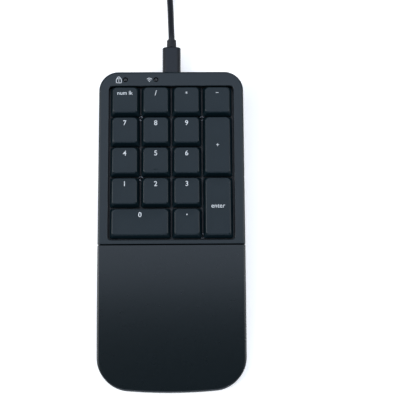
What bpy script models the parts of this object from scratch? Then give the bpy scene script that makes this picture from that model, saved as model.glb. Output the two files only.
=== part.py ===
"""Numeric keypad with low-profile switches, a palm support and a detachable USB charging lead.

Metres, +Z up, +Y towards the rear wall that the lead plugs into. The origin lies on the table,
under the middle of the case. Everything on the key deck hangs from the empty `deck`, which
stands at the middle of the keys, on the plane of the bezel, and carries the deck's tilt.
"""

import math

import bmesh
import bpy
from mathutils import Matrix, Vector

MM = 0.001
CLEARANCE = 0.3 * MM
SHARP_ANGLE = math.radians(35.0)
EMPTY_SIZE = 5.0 * MM
# The middle of a quarter arc lies this share of the radius inside its corner's two walls
ARC_MIDDLE = 1 - math.cos(math.radians(45.0))

# Keys: the grid and the caps
KEY_PITCH = 19.05 * MM
KEY_COLUMNS = 4
KEY_ROWS = 5
CAP_GAP = 0.95 * MM
CAP_HEIGHT = 3.9 * MM
CAP_RISE = 2.2 * MM
CAP_WALL = 1.15 * MM
CAP_ROOF = 1.2 * MM
CAP_SIDE_RUN = 1.55 * MM
CAP_FRONT_RUN = 1.85 * MM
CAP_REAR_RUN = 0.4 * MM
CAP_RIM = 0.5 * MM
CAP_DISH = 0.25 * MM
CAP_DISH_BORDER = 3.5 * MM
CAP_BASE_RADIUS = 0.9 * MM
CAP_TOP_RADIUS = 2.3 * MM
KEY_TRAVEL = 3.0 * MM

# Case
SIDE_BEZEL = 6.3 * MM
REAR_BEZEL = 9.35 * MM
FRONT_STRIP = 2.4 * MM
KEY_MARGIN_X = 0.6 * MM
KEY_MARGIN_Y = 0.55 * MM
PALM_LENGTH = 87.75 * MM
PALM_FRONT_HEIGHT = 5.3 * MM
SEAM_GAP = 0.7 * MM
SEAM_HEIGHT = 14.5 * MM
DECK_TILT = math.radians(3.0)
REAR_RADIUS = 12.0 * MM
FRONT_RADIUS = 18.0 * MM
SEAM_RADIUS = 0.6 * MM
FRONT_BOW = 3.3 * MM
BOW_PARTS = (0.1, 0.3, 0.55, 0.8, 1.0)
EDGE_FILLET = 1.4 * MM
SEAM_FILLET = 0.25 * MM
OPENING_RADIUS = 2.0 * MM
WALL = 2.0 * MM
SEAM_WALL = 1.4 * MM
ROOF = 1.6 * MM
FOOT_STAND = 1.0 * MM
BASE_THICKNESS = 1.6 * MM
BASE_EDGE = 1.0 * MM
SMALLEST_RADIUS = 0.2 * MM

# Switches and their plate
PLATE_THICKNESS = 1.2 * MM
SWITCH_BODY = 13.8 * MM
SWITCH_FLANGE_LIP = 0.5 * MM
SWITCH_FLANGE_HEIGHT = 0.4 * MM
SWITCH_SHOULDER = 13.6 * MM
SWITCH_CROWN = 11.0 * MM
SWITCH_BELOW_PLATE = 1.1 * MM
SLIDER_WIDTH = 5.4 * MM
SLIDER_REACH = 4.9 * MM
BOARD_THICKNESS = 1.2 * MM
BOARD_EDGE_GAP = 0.5 * MM
PLATE_REAR_OVERHANG = 2.2 * MM
PLATE_FRONT_RADIUS = 1.0 * MM

# Stabilisers of the two-unit keys
WIRE_DIAMETER = 1.0 * MM
WIRE_HALF_SPAN = 11.94 * MM
WIRE_BAR_OFFSET = 8.5 * MM
WIRE_ARM = 7.0 * MM
WIRE_REST_ANGLE = math.radians(20.0)
WIRE_BEND = 1.2 * MM
LEG_WIDTH = 3.0 * MM

# Lamps
LAMP_DIAMETER = 2.2 * MM
LAMP_FROM_REAR = 5.2 * MM
LAMP_STAND = 0.15 * MM
LAMP_CROWN = 0.6

# Screws: head, shank and pilot hole
SCREW_HEAD = 3.5 * MM
SCREW_SHANK = 2.0 * MM
PILOT_HOLE = 1.6 * MM
PILOT_DEPTH = 3.0 * MM
BOSS_RADIUS = 3.0 * MM
POST_RADIUS = 2.5 * MM
BOSS_INSET = 2.6 * MM
PLATE_SCREWS = ((-1.0, 1.5), (1.0, 1.5), (-1.0, -0.5), (1.0, -2.39))
CASE_SCREW_FROM_DECK_END = 18.0 * MM
PALM_SCREW_REAR = (34.0 * MM, 12.0 * MM)
PALM_SCREW_FRONT = (26.0 * MM, 68.0 * MM)

# Underside
FOOT_DIAMETER = 9.0 * MM
FOOT_THICKNESS = 1.5 * MM
FOOT_INSET_X = 14.0 * MM
FOOT_INSET_Y = 14.0 * MM
CONTROL_FROM_SEAM = 33.0 * MM
CONTROL_OFFSET = 20.0 * MM
KNOB_SIZE = 3.4 * MM
KNOB_TRAVEL = 3.0 * MM
KNOB_CARRIER = 6.6 * MM
BUTTON_DIAMETER = 4.0 * MM
BUTTON_FLANGE = 1.0 * MM
CONTROL_PLATE = 0.9 * MM
CONTROL_RECESS = 0.4 * MM

# Battery
BATTERY_WIDTH = 32.0 * MM
BATTERY_LENGTH = 48.0 * MM
BATTERY_THICKNESS = 4.5 * MM
BATTERY_REAR_GAP = 12.0 * MM
BATTERY_RADIUS = 1.0 * MM

# Charging socket and the plug in it
SOCKET_WIDTH = 9.3 * MM
SOCKET_HEIGHT = 3.5 * MM
SOCKET_DEPTH = 7.5 * MM
SOCKET_WALL = 0.4 * MM
SOCKET_BACK = 1.0 * MM
TONGUE_WIDTH = 6.0 * MM
TONGUE_THICKNESS = 0.5 * MM
PLUG_WALL = 0.5 * MM
PLUG_MOUTH_FLOOR = 1.2 * MM
GRIP_WIDTH = 11.65 * MM
GRIP_HEIGHT = 6.4 * MM
GRIP_LENGTH = 18.4 * MM
GRIP_RADIUS = 2.9 * MM
RELIEF_DIAMETER = 6.5 * MM
RELIEF_LENGTH = 5.2 * MM
RELIEF_LIP = 0.6 * MM

# Charging lead
CABLE_DIAMETER = 4.0 * MM
COIL_RADIUS = 22.0 * MM
COIL_ROWS = 3
COIL_SLACK = 0.4 * MM
COIL_SEGMENTS = 32
COIL_CORNER = 0.4
COIL_CENTRE = Vector((-24.0, 196.0, 0.0)) * MM
STRAIGHT_START = 2.0 * MM
CABLE_ROUTE = (
    (-0.2, 130.0, 9.6),
    (-0.5, 138.0, 7.4),
    (-0.9, 148.0, 4.6),
    (-1.5, 158.0, 2.8),
    (-1.9, 166.0, 2.2),
    (-2.0, 173.5, 2.2),
)
TAIL_ROUTE = (
    (-46.5, 218.0, 2.4),
    (-52.0, 218.2, 3.2),
    (-59.0, 218.4, 4.3),
)
ROUTE_STEPS = 4
FAR_GRIP_SIZE = (16.0 * MM, 8.2 * MM, 26.0 * MM)
FAR_GRIP_RADIUS = 2.4 * MM
FAR_SHELL_SIZE = (12.0 * MM, 4.5 * MM, 12.0 * MM)
FAR_SHELL_RADIUS = 0.5 * MM
FAR_SHELL_WALL = 0.45 * MM
FAR_SLOT_HEIGHT = 1.9 * MM
FAR_SLOT_DEPTH = 10.0 * MM
FAR_PLUG_START = Vector((-59.4, 218.4, 4.6)) * MM

# Worked out from the sizes above
OPENING_WIDTH = KEY_COLUMNS * KEY_PITCH + 2 * KEY_MARGIN_X
OPENING_LENGTH = KEY_ROWS * KEY_PITCH + 2 * KEY_MARGIN_Y
BODY_WIDTH = OPENING_WIDTH + 2 * SIDE_BEZEL
DECK_LENGTH = FRONT_STRIP + OPENING_LENGTH + REAR_BEZEL
BODY_LENGTH = PALM_LENGTH + SEAM_GAP + DECK_LENGTH
BODY_REAR = BODY_LENGTH / 2
BODY_FRONT = -BODY_LENGTH / 2
PALM_REAR = BODY_FRONT + PALM_LENGTH
DECK_FRONT = PALM_REAR + SEAM_GAP
PALM_FALL = SEAM_HEIGHT - PALM_FRONT_HEIGHT - PALM_LENGTH * math.tan(DECK_TILT)
PALM_CURVE = PALM_FALL / PALM_LENGTH ** 2
KEYS_Y = DECK_FRONT + FRONT_STRIP + OPENING_LENGTH / 2
BASE_TOP = FOOT_STAND + BASE_THICKNESS
COVER_BOTTOM = BASE_TOP + CLEARANCE
CAP_BASE = CAP_RISE - CAP_HEIGHT
CAP_CEILING = CAP_RISE - CAP_ROOF
PLATE_TOP = CAP_BASE - KEY_TRAVEL - CLEARANCE
PLATE_BOTTOM = PLATE_TOP - PLATE_THICKNESS
SWITCH_TOP = CAP_CEILING - KEY_TRAVEL - CLEARANCE
SWITCH_BOTTOM = PLATE_BOTTOM - SWITCH_BELOW_PLATE
SWITCH_HOLE = SLIDER_WIDTH + 2 * CLEARANCE
CUTOUT = SWITCH_BODY + 2 * CLEARANCE
BOARD_TOP = SWITCH_BOTTOM - CLEARANCE
BOARD_BOTTOM = BOARD_TOP - BOARD_THICKNESS
SOCKET_Z = BOARD_BOTTOM - CLEARANCE - SOCKET_HEIGHT / 2
WIRE_Z = PLATE_TOP - PLATE_THICKNESS / 2
LEG_BOTTOM = WIRE_Z + WIRE_ARM * math.sin(WIRE_REST_ANGLE) + WIRE_DIAMETER / 2 + CLEARANCE
DECK_REAR = BODY_REAR - KEYS_Y

# Name, first column and row, width and depth in units: rows run from the rear to the front
KEYS = (
    ("num_lock", 0, 0, 1, 1),
    ("divide", 1, 0, 1, 1),
    ("multiply", 2, 0, 1, 1),
    ("subtract", 3, 0, 1, 1),
    ("7", 0, 1, 1, 1),
    ("8", 1, 1, 1, 1),
    ("9", 2, 1, 1, 1),
    ("add", 3, 1, 1, 2),
    ("4", 0, 2, 1, 1),
    ("5", 1, 2, 1, 1),
    ("6", 2, 2, 1, 1),
    ("1", 0, 3, 1, 1),
    ("2", 1, 3, 1, 1),
    ("3", 2, 3, 1, 1),
    ("enter", 3, 3, 1, 2),
    ("0", 0, 4, 2, 1),
    ("decimal", 2, 4, 1, 1),
)

# Colour, roughness and metallic value of each material
FINISHES = {
    "case_plastic": ((0.043, 0.054, 0.069), 0.55, 0.0),
    "palm_plastic": ((0.036, 0.045, 0.055), 0.50, 0.0),
    "key_plastic": ((0.030, 0.041, 0.052), 0.50, 0.0),
    "switch_plastic": ((0.012, 0.012, 0.013), 0.45, 0.0),
    "plate_steel": ((0.10, 0.105, 0.11), 0.40, 0.9),
    "wire_steel": ((0.55, 0.55, 0.56), 0.30, 1.0),
    "board_laminate": ((0.010, 0.060, 0.030), 0.45, 0.0),
    "battery_foil": ((0.45, 0.46, 0.48), 0.35, 0.6),
    "lamp_lens": ((0.35, 0.38, 0.36), 0.15, 0.0),
    "foot_rubber": ((0.015, 0.015, 0.016), 0.85, 0.0),
    "plug_metal": ((0.60, 0.60, 0.61), 0.25, 1.0),
    "lead_rubber": ((0.018, 0.020, 0.024), 0.55, 0.0),
    "grip_plastic": ((0.030, 0.036, 0.050), 0.50, 0.0),
}


def clear_scene():
    for obj in list(bpy.data.objects):
        bpy.data.objects.remove(obj, do_unlink=True)


def material(name):
    """The named material, made on its first use."""
    if name in bpy.data.materials:
        return bpy.data.materials[name]
    colour, roughness, metallic = FINISHES[name]
    made = bpy.data.materials.new(name)
    made.use_nodes = True
    shader = made.node_tree.nodes["Principled BSDF"]
    shader.inputs["Base Color"].default_value = (*colour, 1.0)
    shader.inputs["Roughness"].default_value = roughness
    shader.inputs["Metallic"].default_value = metallic
    made.diffuse_color = (*colour, 1.0)
    return made


def place(obj, finish, parent, location):
    bpy.context.scene.collection.objects.link(obj)
    obj.data.materials.append(material(finish))
    obj.parent = parent
    obj.location = location
    return obj


def solid(name, bm, finish, parent=None, location=(0.0, 0.0, 0.0)):
    """Turn a bmesh into an object whose faces point outwards."""
    bmesh.ops.remove_doubles(bm, verts=bm.verts, dist=1e-6)
    bmesh.ops.recalc_face_normals(bm, faces=bm.faces)
    mesh = bpy.data.meshes.new(name)
    bm.to_mesh(mesh)
    bm.free()
    mesh.shade_smooth()
    mesh.set_sharp_from_angle(angle=SHARP_ANGLE)
    return place(bpy.data.objects.new(name, mesh), finish, parent, location)


def helper(name, bm, parent=None, location=(0.0, 0.0, 0.0)):
    """A solid that only cuts or joins another and is never shown itself."""
    obj = solid(name, bm, "case_plastic", parent, location)
    obj.hide_render = True
    obj.display_type = "WIRE"
    return obj


def combine(obj, other, operation):
    step = obj.modifiers.new(f"{operation.lower()} {other.name}", "BOOLEAN")
    step.operation = operation
    step.object = other
    step.solver = "EXACT"


def empty(name, location, parent=None, rotation=(0.0, 0.0, 0.0)):
    made = bpy.data.objects.new(name, None)
    bpy.context.scene.collection.objects.link(made)
    made.empty_display_size = EMPTY_SIZE
    made.parent = parent
    made.location = location
    made.rotation_euler = rotation
    return made


def outline(width, front, rear, front_radius, rear_radius, bow=0.0, sides=0, steps=3):
    """Points of a rounded rectangle: up its right side, then down its left side.

    Each point has a partner at the same y on the other side, which ladder_cap relies on.
    The front edge bows outwards by bow, which fades out over the palm support's length, and
    sides adds points along the straight sides.
    """
    half = width / 2
    front_radius = max(front_radius, SMALLEST_RADIUS)
    rear_radius = max(rear_radius, SMALLEST_RADIUS)
    right = [(half - front_radius, front)] if not bow else []
    if bow:
        right += [((half - front_radius) * part, front) for part in BOW_PARTS]
    for step in range(1, steps + 1):
        turn = math.radians(90.0 * step / steps)
        right.append((half - front_radius + front_radius * math.sin(turn),
                      front + front_radius * (1 - math.cos(turn))))
    side_start, side_end = front + front_radius, rear - rear_radius
    for step in range(1, sides + 1):
        right.append((half, side_start + (side_end - side_start) * step / (sides + 1)))
    for step in range(steps + 1):
        turn = math.radians(90.0 * step / steps)
        right.append((half - rear_radius * (1 - math.cos(turn)),
                      rear - rear_radius * (1 - math.sin(turn))))
    if bow:
        right = [(x, y + bow * (x / half) ** 2 * max(0.0, 1 - (y - front) / PALM_LENGTH))
                 for x, y in right]
    return right + [(-x, y) for x, y in reversed(right)]


def ladder_cap(bm, ring):
    """Close a ring with faces across it from each point to its partner on the other side."""
    count = len(ring)
    for i in range(count // 2 - 1):
        bm.faces.new((ring[i], ring[i + 1], ring[count - 2 - i], ring[count - 1 - i]))


def skin(bm, rings):
    """Join each ring to the next with quads."""
    made = [[bm.verts.new(point) for point in ring] for ring in rings]
    for lower, upper in zip(made, made[1:]):
        for i in range(len(lower)):
            j = (i + 1) % len(lower)
            bm.faces.new((lower[i], lower[j], upper[j], upper[i]))
    return made


def add_loft(bm, rings):
    """A closed solid through the rings, capped at both ends."""
    made = skin(bm, rings)
    ladder_cap(bm, made[0])
    ladder_cap(bm, made[-1])


def add_tube(bm, rings):
    """A closed solid whose last ring joins its first, with a hole through it."""
    skin(bm, [*rings, rings[0]])


def level(points, z):
    return [(x, y, z) for x, y in points]


def add_prism(bm, points, low, high):
    add_loft(bm, [level(points, low), level(points, high)])


def add_box(bm, low, high):
    """A box from its lowest to its highest corner."""
    width, front, rear = high[0] - low[0], low[1], high[1]
    middle = (low[0] + high[0]) / 2
    corners = [(width / 2, front), (width / 2, rear), (-width / 2, rear), (-width / 2, front)]
    add_prism(bm, [(x + middle, y) for x, y in corners], low[2], high[2])


def add_cylinder(bm, centre, radius, low, high, segments=12, top_radius=None):
    """An upright cylinder, or a cone frustum when its top radius differs."""
    turned = Matrix.Translation((centre[0], centre[1], (low + high) / 2))
    bmesh.ops.create_cone(
        bm, cap_ends=True, segments=segments, radius1=radius,
        radius2=radius if top_radius is None else top_radius, depth=high - low, matrix=turned)


def add_bar(bm, width, height, radius, low, high, steps=3):
    """A bar along y with rounded long edges."""
    section = outline(width, -height / 2, height / 2, radius, radius, steps=steps)
    add_loft(bm, [[(x, y, z) for x, z in section] for y in (low, high)])


def deck_height(y):
    """Height of the bezel's plane above the table."""
    return SEAM_HEIGHT + (y - DECK_FRONT) * math.tan(DECK_TILT)


def below_deck(y, depth):
    """Height of a plane that lies depth (negative) from the bezel's plane."""
    return deck_height(y) + depth / math.cos(DECK_TILT)


def palm_height(y):
    """Height of the palm support, which falls away towards the front."""
    away = PALM_REAR - y
    return SEAM_HEIGHT - away * math.tan(DECK_TILT) - PALM_CURVE * away * away


def body_outline(inset, front, rear, front_radius, rear_radius, seam_inset, seam_side, bow, sides):
    """Outline of a cover, drawn in by inset, or by seam_inset on the side of the seam."""
    front_inset = seam_inset if seam_side == "front" else inset
    rear_inset = seam_inset if seam_side == "rear" else inset
    return outline(
        BODY_WIDTH - 2 * inset, front + front_inset, rear - rear_inset,
        front_radius - inset, rear_radius - inset, bow, sides, steps=6)


def deck_outline(inset, seam_inset):
    return body_outline(inset, DECK_FRONT, BODY_REAR, SEAM_RADIUS, REAR_RADIUS,
                        seam_inset, "front", 0.0, 0)


def palm_outline(inset, seam_inset):
    return body_outline(inset, BODY_FRONT, PALM_REAR, FRONT_RADIUS, SEAM_RADIUS,
                        seam_inset, "rear", FRONT_BOW, 8)


def add_cover(bm, ring_of, height_of):
    """The outer solid of a cover: upright walls, a rounded top edge and a sloping roof."""
    rings = [level(ring_of(0.0, 0.0), COVER_BOTTOM)]
    fillet_steps = 4
    for step in range(fillet_steps + 1):
        turn = math.radians(90.0 * step / fillet_steps)
        inset = 1 - math.cos(turn)
        drop = EDGE_FILLET * (1 - math.sin(turn))
        points = ring_of(EDGE_FILLET * inset, SEAM_FILLET * inset)
        rings.append([(x, y, height_of(y) - drop) for x, y in points])
    add_loft(bm, rings)


def add_cover_cavity(bm, ring_of, ceiling_of):
    points = ring_of(WALL, SEAM_WALL)
    add_loft(bm, [level(points, 0.0), [(x, y, ceiling_of(y)) for x, y in points]])


def case_screw_places():
    """Screws that hold the upper case, beside its walls, and the palm support, in its posts."""
    side = BODY_WIDTH / 2 - WALL - BOSS_INSET
    deck_rows = (DECK_FRONT + CASE_SCREW_FROM_DECK_END, BODY_REAR - CASE_SCREW_FROM_DECK_END)
    deck_places = [(x, y) for x in (-side, side) for y in deck_rows]
    palm_places = [(sign * x, PALM_REAR - away) for sign in (-1, 1)
                   for x, away in (PALM_SCREW_REAR, PALM_SCREW_FRONT)]
    return deck_places, palm_places


def plate_screw_places():
    """Plate screws, on the deck, from the middle of the keys."""
    return [(column * KEY_PITCH, row * KEY_PITCH) for column, row in PLATE_SCREWS]


def lamp_places():
    """The two lamps stand in line with the first and second columns of keys."""
    columns = (-1.5 * KEY_PITCH, -0.5 * KEY_PITCH)
    return [(x, DECK_REAR - LAMP_FROM_REAR) for x in columns]


def make_upper_case(deck, plug):
    bm = bmesh.new()
    add_cover(bm, deck_outline, deck_height)
    case = solid("upper_case", bm, "case_plastic")

    bm = bmesh.new()
    add_cover_cavity(bm, deck_outline, lambda y: below_deck(y, -ROOF))
    combine(case, helper("upper_case_cavity", bm), "DIFFERENCE")

    bosses, _ = case_screw_places()
    bm = bmesh.new()
    for x, y in bosses:
        top = below_deck(y, BOARD_BOTTOM) - 2 * CLEARANCE
        add_cylinder(bm, (x, y), BOSS_RADIUS, COVER_BOTTOM, top)
    combine(case, helper("upper_case_bosses", bm), "UNION")

    bm = bmesh.new()
    for x, y in bosses:
        add_cylinder(bm, (x, y), PILOT_HOLE / 2, 0.0, COVER_BOTTOM + PILOT_DEPTH)
    combine(case, helper("upper_case_pilots", bm), "DIFFERENCE")

    bm = bmesh.new()
    half = OPENING_LENGTH / 2
    opening = outline(OPENING_WIDTH, -half, half, OPENING_RADIUS, OPENING_RADIUS)
    add_prism(bm, opening, -2 * ROOF, ROOF)
    for place_on_deck in lamp_places():
        add_cylinder(bm, place_on_deck, LAMP_DIAMETER / 2 + CLEARANCE, -2 * ROOF, ROOF, 16)
    combine(case, helper("upper_case_openings", bm, deck), "DIFFERENCE")

    bm = bmesh.new()
    add_bar(bm, SOCKET_WIDTH + 2 * CLEARANCE, SOCKET_HEIGHT + 2 * CLEARANCE,
            SOCKET_HEIGHT / 2 + CLEARANCE, -2 * WALL, WALL)
    combine(case, helper("upper_case_socket_hole", bm, plug), "DIFFERENCE")


def make_palm_cover():
    bm = bmesh.new()
    add_cover(bm, palm_outline, palm_height)
    cover = solid("palm_cover", bm, "palm_plastic")

    lowest_ceiling = COVER_BOTTOM + 2 * CLEARANCE
    bm = bmesh.new()
    add_cover_cavity(bm, palm_outline, lambda y: max(palm_height(y) - ROOF, lowest_ceiling))
    combine(cover, helper("palm_cavity", bm), "DIFFERENCE")

    _, posts = case_screw_places()
    bm = bmesh.new()
    for x, y in posts:
        add_cylinder(bm, (x, y), POST_RADIUS, COVER_BOTTOM, palm_height(y) - ROOF / 2)
    combine(cover, helper("palm_posts", bm), "UNION")

    bm = bmesh.new()
    for x, y in posts:
        add_cylinder(bm, (x, y), PILOT_HOLE / 2, 0.0, COVER_BOTTOM + PILOT_DEPTH)
    combine(cover, helper("palm_pilots", bm), "DIFFERENCE")


def foot_places():
    rows = (BODY_FRONT + FOOT_INSET_Y, BODY_REAR - FOOT_INSET_Y)
    side = BODY_WIDTH / 2 - FOOT_INSET_X
    names = ("front_left", "front_right", "rear_left", "rear_right")
    return list(zip(names, [(x, y) for y in rows for x in (-side, side)]))


def control_places():
    """Slide switch on the left and pairing button on the right, under the front keys."""
    y = PALM_REAR + CONTROL_FROM_SEAM
    return (-CONTROL_OFFSET, y), (CONTROL_OFFSET, y)


def make_lower_case():
    """A flat base with its lower edge rounded, posts for the plate, and its recesses and holes."""
    def ring(inset, z):
        points = outline(
            BODY_WIDTH - 2 * inset, BODY_FRONT + inset, BODY_REAR - inset,
            FRONT_RADIUS - inset, REAR_RADIUS - inset, FRONT_BOW, 0, steps=6)
        return level(points, z)

    bm = bmesh.new()
    middle = ARC_MIDDLE * BASE_EDGE
    add_loft(bm, [ring(BASE_EDGE, FOOT_STAND), ring(middle, FOOT_STAND + middle),
                  ring(0.0, FOOT_STAND + BASE_EDGE), ring(0.0, BASE_TOP)])
    base = solid("lower_case", bm, "case_plastic")

    posts = [(x, KEYS_Y + y) for x, y in plate_screw_places()]
    tops = [below_deck(y, BOARD_BOTTOM) - 2 * CLEARANCE for _, y in posts]
    bm = bmesh.new()
    for (x, y), top in zip(posts, tops):
        add_cylinder(bm, (x, y), POST_RADIUS, BASE_TOP - BASE_THICKNESS / 2, top)
    combine(base, helper("lower_case_posts", bm), "UNION")

    knob, button = control_places()
    slot_end = KNOB_TRAVEL / 2 + KNOB_SIZE / 2 + CLEARANCE
    slot_side = KNOB_SIZE / 2 + CLEARANCE
    deck_screws, palm_screws = case_screw_places()
    bm = bmesh.new()
    for (x, y), top in zip(posts, tops):
        add_cylinder(bm, (x, y), PILOT_HOLE / 2, top - PILOT_DEPTH, top + WALL)
    for x, y in deck_screws + palm_screws:
        add_cylinder(bm, (x, y), SCREW_SHANK / 2 + CLEARANCE / 2, 0.0, 2 * BASE_TOP)
    add_box(bm, (knob[0] - slot_end, knob[1] - slot_side, 0.0),
            (knob[0] + slot_end, knob[1] + slot_side, 2 * BASE_TOP))
    add_cylinder(bm, button, BUTTON_DIAMETER / 2 + CLEARANCE, 0.0, 2 * BASE_TOP, 16)
    combine(base, helper("lower_case_holes", bm), "DIFFERENCE")

    bm = bmesh.new()
    for x, y in deck_screws + palm_screws:
        add_cylinder(bm, (x, y), SCREW_HEAD / 2 + CLEARANCE, 0.0, FOOT_STAND + BASE_THICKNESS / 2)
    for _, (x, y) in foot_places():
        add_cylinder(bm, (x, y), FOOT_DIAMETER / 2 + CLEARANCE, 0.0, FOOT_THICKNESS + CLEARANCE, 24)
    combine(base, helper("lower_case_recesses", bm), "DIFFERENCE")


def make_feet():
    for name, (x, y) in foot_places():
        bm = bmesh.new()
        add_cylinder(bm, (0.0, 0.0), FOOT_DIAMETER / 2, 0.0, FOOT_THICKNESS, 24)
        solid(f"foot_{name}", bm, "foot_rubber", location=(x, y, 0.0))


def make_controls():
    """The slide switch's knob rests at its off end, and the pairing button rests out."""
    knob, button = control_places()
    low = FOOT_STAND - CONTROL_RECESS
    bm = bmesh.new()
    half, wide = KNOB_SIZE / 2, KNOB_CARRIER / 2
    add_loft(bm, [
        level(outline(2 * half, -half, half, 0.0, 0.0, steps=1), low),
        level(outline(2 * half, -half, half, 0.0, 0.0, steps=1), COVER_BOTTOM),
        level(outline(2 * wide, -wide, wide, 0.0, 0.0, steps=1), COVER_BOTTOM),
        level(outline(2 * wide, -wide, wide, 0.0, 0.0, steps=1), COVER_BOTTOM + CONTROL_PLATE)])
    solid("power_switch", bm, "switch_plastic",
          location=(knob[0] - KNOB_TRAVEL / 2, knob[1], 0.0))

    bm = bmesh.new()
    flange = BUTTON_DIAMETER / 2 + BUTTON_FLANGE
    add_cylinder(bm, (0.0, 0.0), BUTTON_DIAMETER / 2, low, COVER_BOTTOM + CONTROL_PLATE / 2, 16)
    stem = solid("pairing_button", bm, "switch_plastic", location=(*button, 0.0))
    bm = bmesh.new()
    add_cylinder(bm, (0.0, 0.0), flange, COVER_BOTTOM, COVER_BOTTOM + CONTROL_PLATE, 16)
    combine(stem, helper("pairing_button_flange", bm, location=(*button, 0.0)), "UNION")


def key_centre(column, row, width, depth):
    """Middle of a key on the deck, from the middle of all keys."""
    x = (column + width / 2 - KEY_COLUMNS / 2) * KEY_PITCH
    y = (KEY_ROWS / 2 - row - depth / 2) * KEY_PITCH
    return x, y


def stabilised_keys():
    """Each two-unit key, with the turn that lays its wire along the key's long side."""
    for name, column, row, width, depth in KEYS:
        if width * depth > 1:
            turn = 0.0 if width > depth else -math.pi / 2
            yield name, key_centre(column, row, width, depth), turn


def slot_outline():
    """The slot of one stabiliser: a channel for its bar and two arms for its ends and legs."""
    inner = WIRE_HALF_SPAN - LEG_WIDTH / 2 - CLEARANCE
    outer = WIRE_HALF_SPAN + LEG_WIDTH / 2 + CLEARANCE
    rear = WIRE_BAR_OFFSET + WIRE_DIAMETER / 2 + CLEARANCE
    channel = WIRE_BAR_OFFSET - WIRE_DIAMETER / 2 - CLEARANCE
    front = WIRE_BAR_OFFSET - WIRE_ARM - LEG_WIDTH / 2 + CLEARANCE
    right = [(inner, channel), (inner, front), (outer, front), (outer, rear)]
    return right + [(-x, y) for x, y in reversed(right)]


def add_slot(bm, centre, turn):
    """The stabiliser's slot as a cutter, turned about the middle of its key."""
    rotation = Matrix.Rotation(turn, 3, "Z")
    placed = [rotation @ Vector((x, y, 0.0)) for x, y in slot_outline()]
    walls = [[bm.verts.new((p.x + centre[0], p.y + centre[1], z)) for p in placed]
             for z in (PLATE_BOTTOM - WALL, PLATE_TOP + WALL)]
    bottom, top = walls
    for i in range(len(bottom)):
        j = (i + 1) % len(bottom)
        bm.faces.new((bottom[i], bottom[j], top[j], top[i]))
    bm.faces.new(bottom)
    bm.faces.new(top)


def make_switch_plate(deck):
    """Steel plate with a cut-out for each switch, slots for the wires and countersunk holes."""
    front = -(OPENING_LENGTH / 2 + FRONT_STRIP - SEAM_WALL - BOARD_EDGE_GAP)
    rear = OPENING_LENGTH / 2 + PLATE_REAR_OVERHANG
    width = BODY_WIDTH - 2 * WALL - 2 * BOARD_EDGE_GAP
    rear_radius = REAR_RADIUS - WALL - BOARD_EDGE_GAP
    bm = bmesh.new()
    add_prism(bm, outline(width, front, rear, PLATE_FRONT_RADIUS, rear_radius), PLATE_BOTTOM, PLATE_TOP)
    plate = solid("switch_plate", bm, "plate_steel", deck)

    bm = bmesh.new()
    for _, *cell in KEYS:
        x, y = key_centre(*cell)
        half = CUTOUT / 2
        add_box(bm, (x - half, y - half, PLATE_BOTTOM - WALL), (x + half, y + half, PLATE_TOP + WALL))
    for _, centre, turn in stabilised_keys():
        add_slot(bm, centre, turn)
    for x, y in plate_screw_places():
        add_cylinder(bm, (x, y), SCREW_SHANK / 2, PLATE_BOTTOM - CLEARANCE, PLATE_TOP + CLEARANCE,
                     12, SCREW_HEAD / 2 + 2 * CLEARANCE)
    combine(plate, helper("plate_cutouts", bm, deck), "DIFFERENCE")


def make_circuit_board(deck):
    front = -(OPENING_LENGTH / 2 + FRONT_STRIP - SEAM_WALL - BOARD_EDGE_GAP)
    rear = DECK_REAR - WALL - BOARD_EDGE_GAP
    width = BODY_WIDTH - 2 * WALL - 2 * BOARD_EDGE_GAP
    rear_radius = REAR_RADIUS - WALL - BOARD_EDGE_GAP
    bm = bmesh.new()
    add_prism(bm, outline(width, front, rear, PLATE_FRONT_RADIUS, rear_radius), BOARD_BOTTOM, BOARD_TOP)
    board = solid("circuit_board", bm, "board_laminate", deck)

    bm = bmesh.new()
    for x, y in plate_screw_places():
        add_cylinder(bm, (x, y), SCREW_SHANK / 2 + CLEARANCE, BOARD_BOTTOM - WALL, BOARD_TOP + WALL)
    combine(board, helper("board_holes", bm, deck), "DIFFERENCE")


def make_battery():
    rear = BODY_REAR - WALL - BATTERY_REAR_GAP
    low = COVER_BOTTOM
    bm = bmesh.new()
    points = outline(BATTERY_WIDTH, rear - BATTERY_LENGTH, rear, BATTERY_RADIUS, BATTERY_RADIUS)
    add_prism(bm, points, low, low + BATTERY_THICKNESS)
    solid("battery", bm, "battery_foil")


def make_lamps(deck):
    """Light pipes from the circuit board up to a low dome in the bezel."""
    for name, (x, y) in zip(("numlock_lamp", "wireless_lamp"), lamp_places()):
        bm = bmesh.new()
        radius = LAMP_DIAMETER / 2
        add_cylinder(bm, (0.0, 0.0), radius, BOARD_TOP + CLEARANCE, 0.0, 16)
        bmesh.ops.delete(bm, geom=[f for f in bm.faces if f.normal.z > 0.9], context="FACES_ONLY")
        rim = [e for e in bm.edges if e.is_boundary]
        crown = bmesh.ops.extrude_edge_only(bm, edges=rim)["geom"]
        for vert in [v for v in crown if isinstance(v, bmesh.types.BMVert)]:
            vert.co = (LAMP_CROWN * vert.co.x, LAMP_CROWN * vert.co.y, LAMP_STAND)
        bmesh.ops.holes_fill(bm, edges=[e for e in bm.edges if e.is_boundary], sides=16)
        solid(name, bm, "lamp_lens", deck, (x, y, 0.0))


def square(width):
    half = width / 2
    return [(half, -half), (half, half), (-half, half), (-half, -half)]


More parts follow.
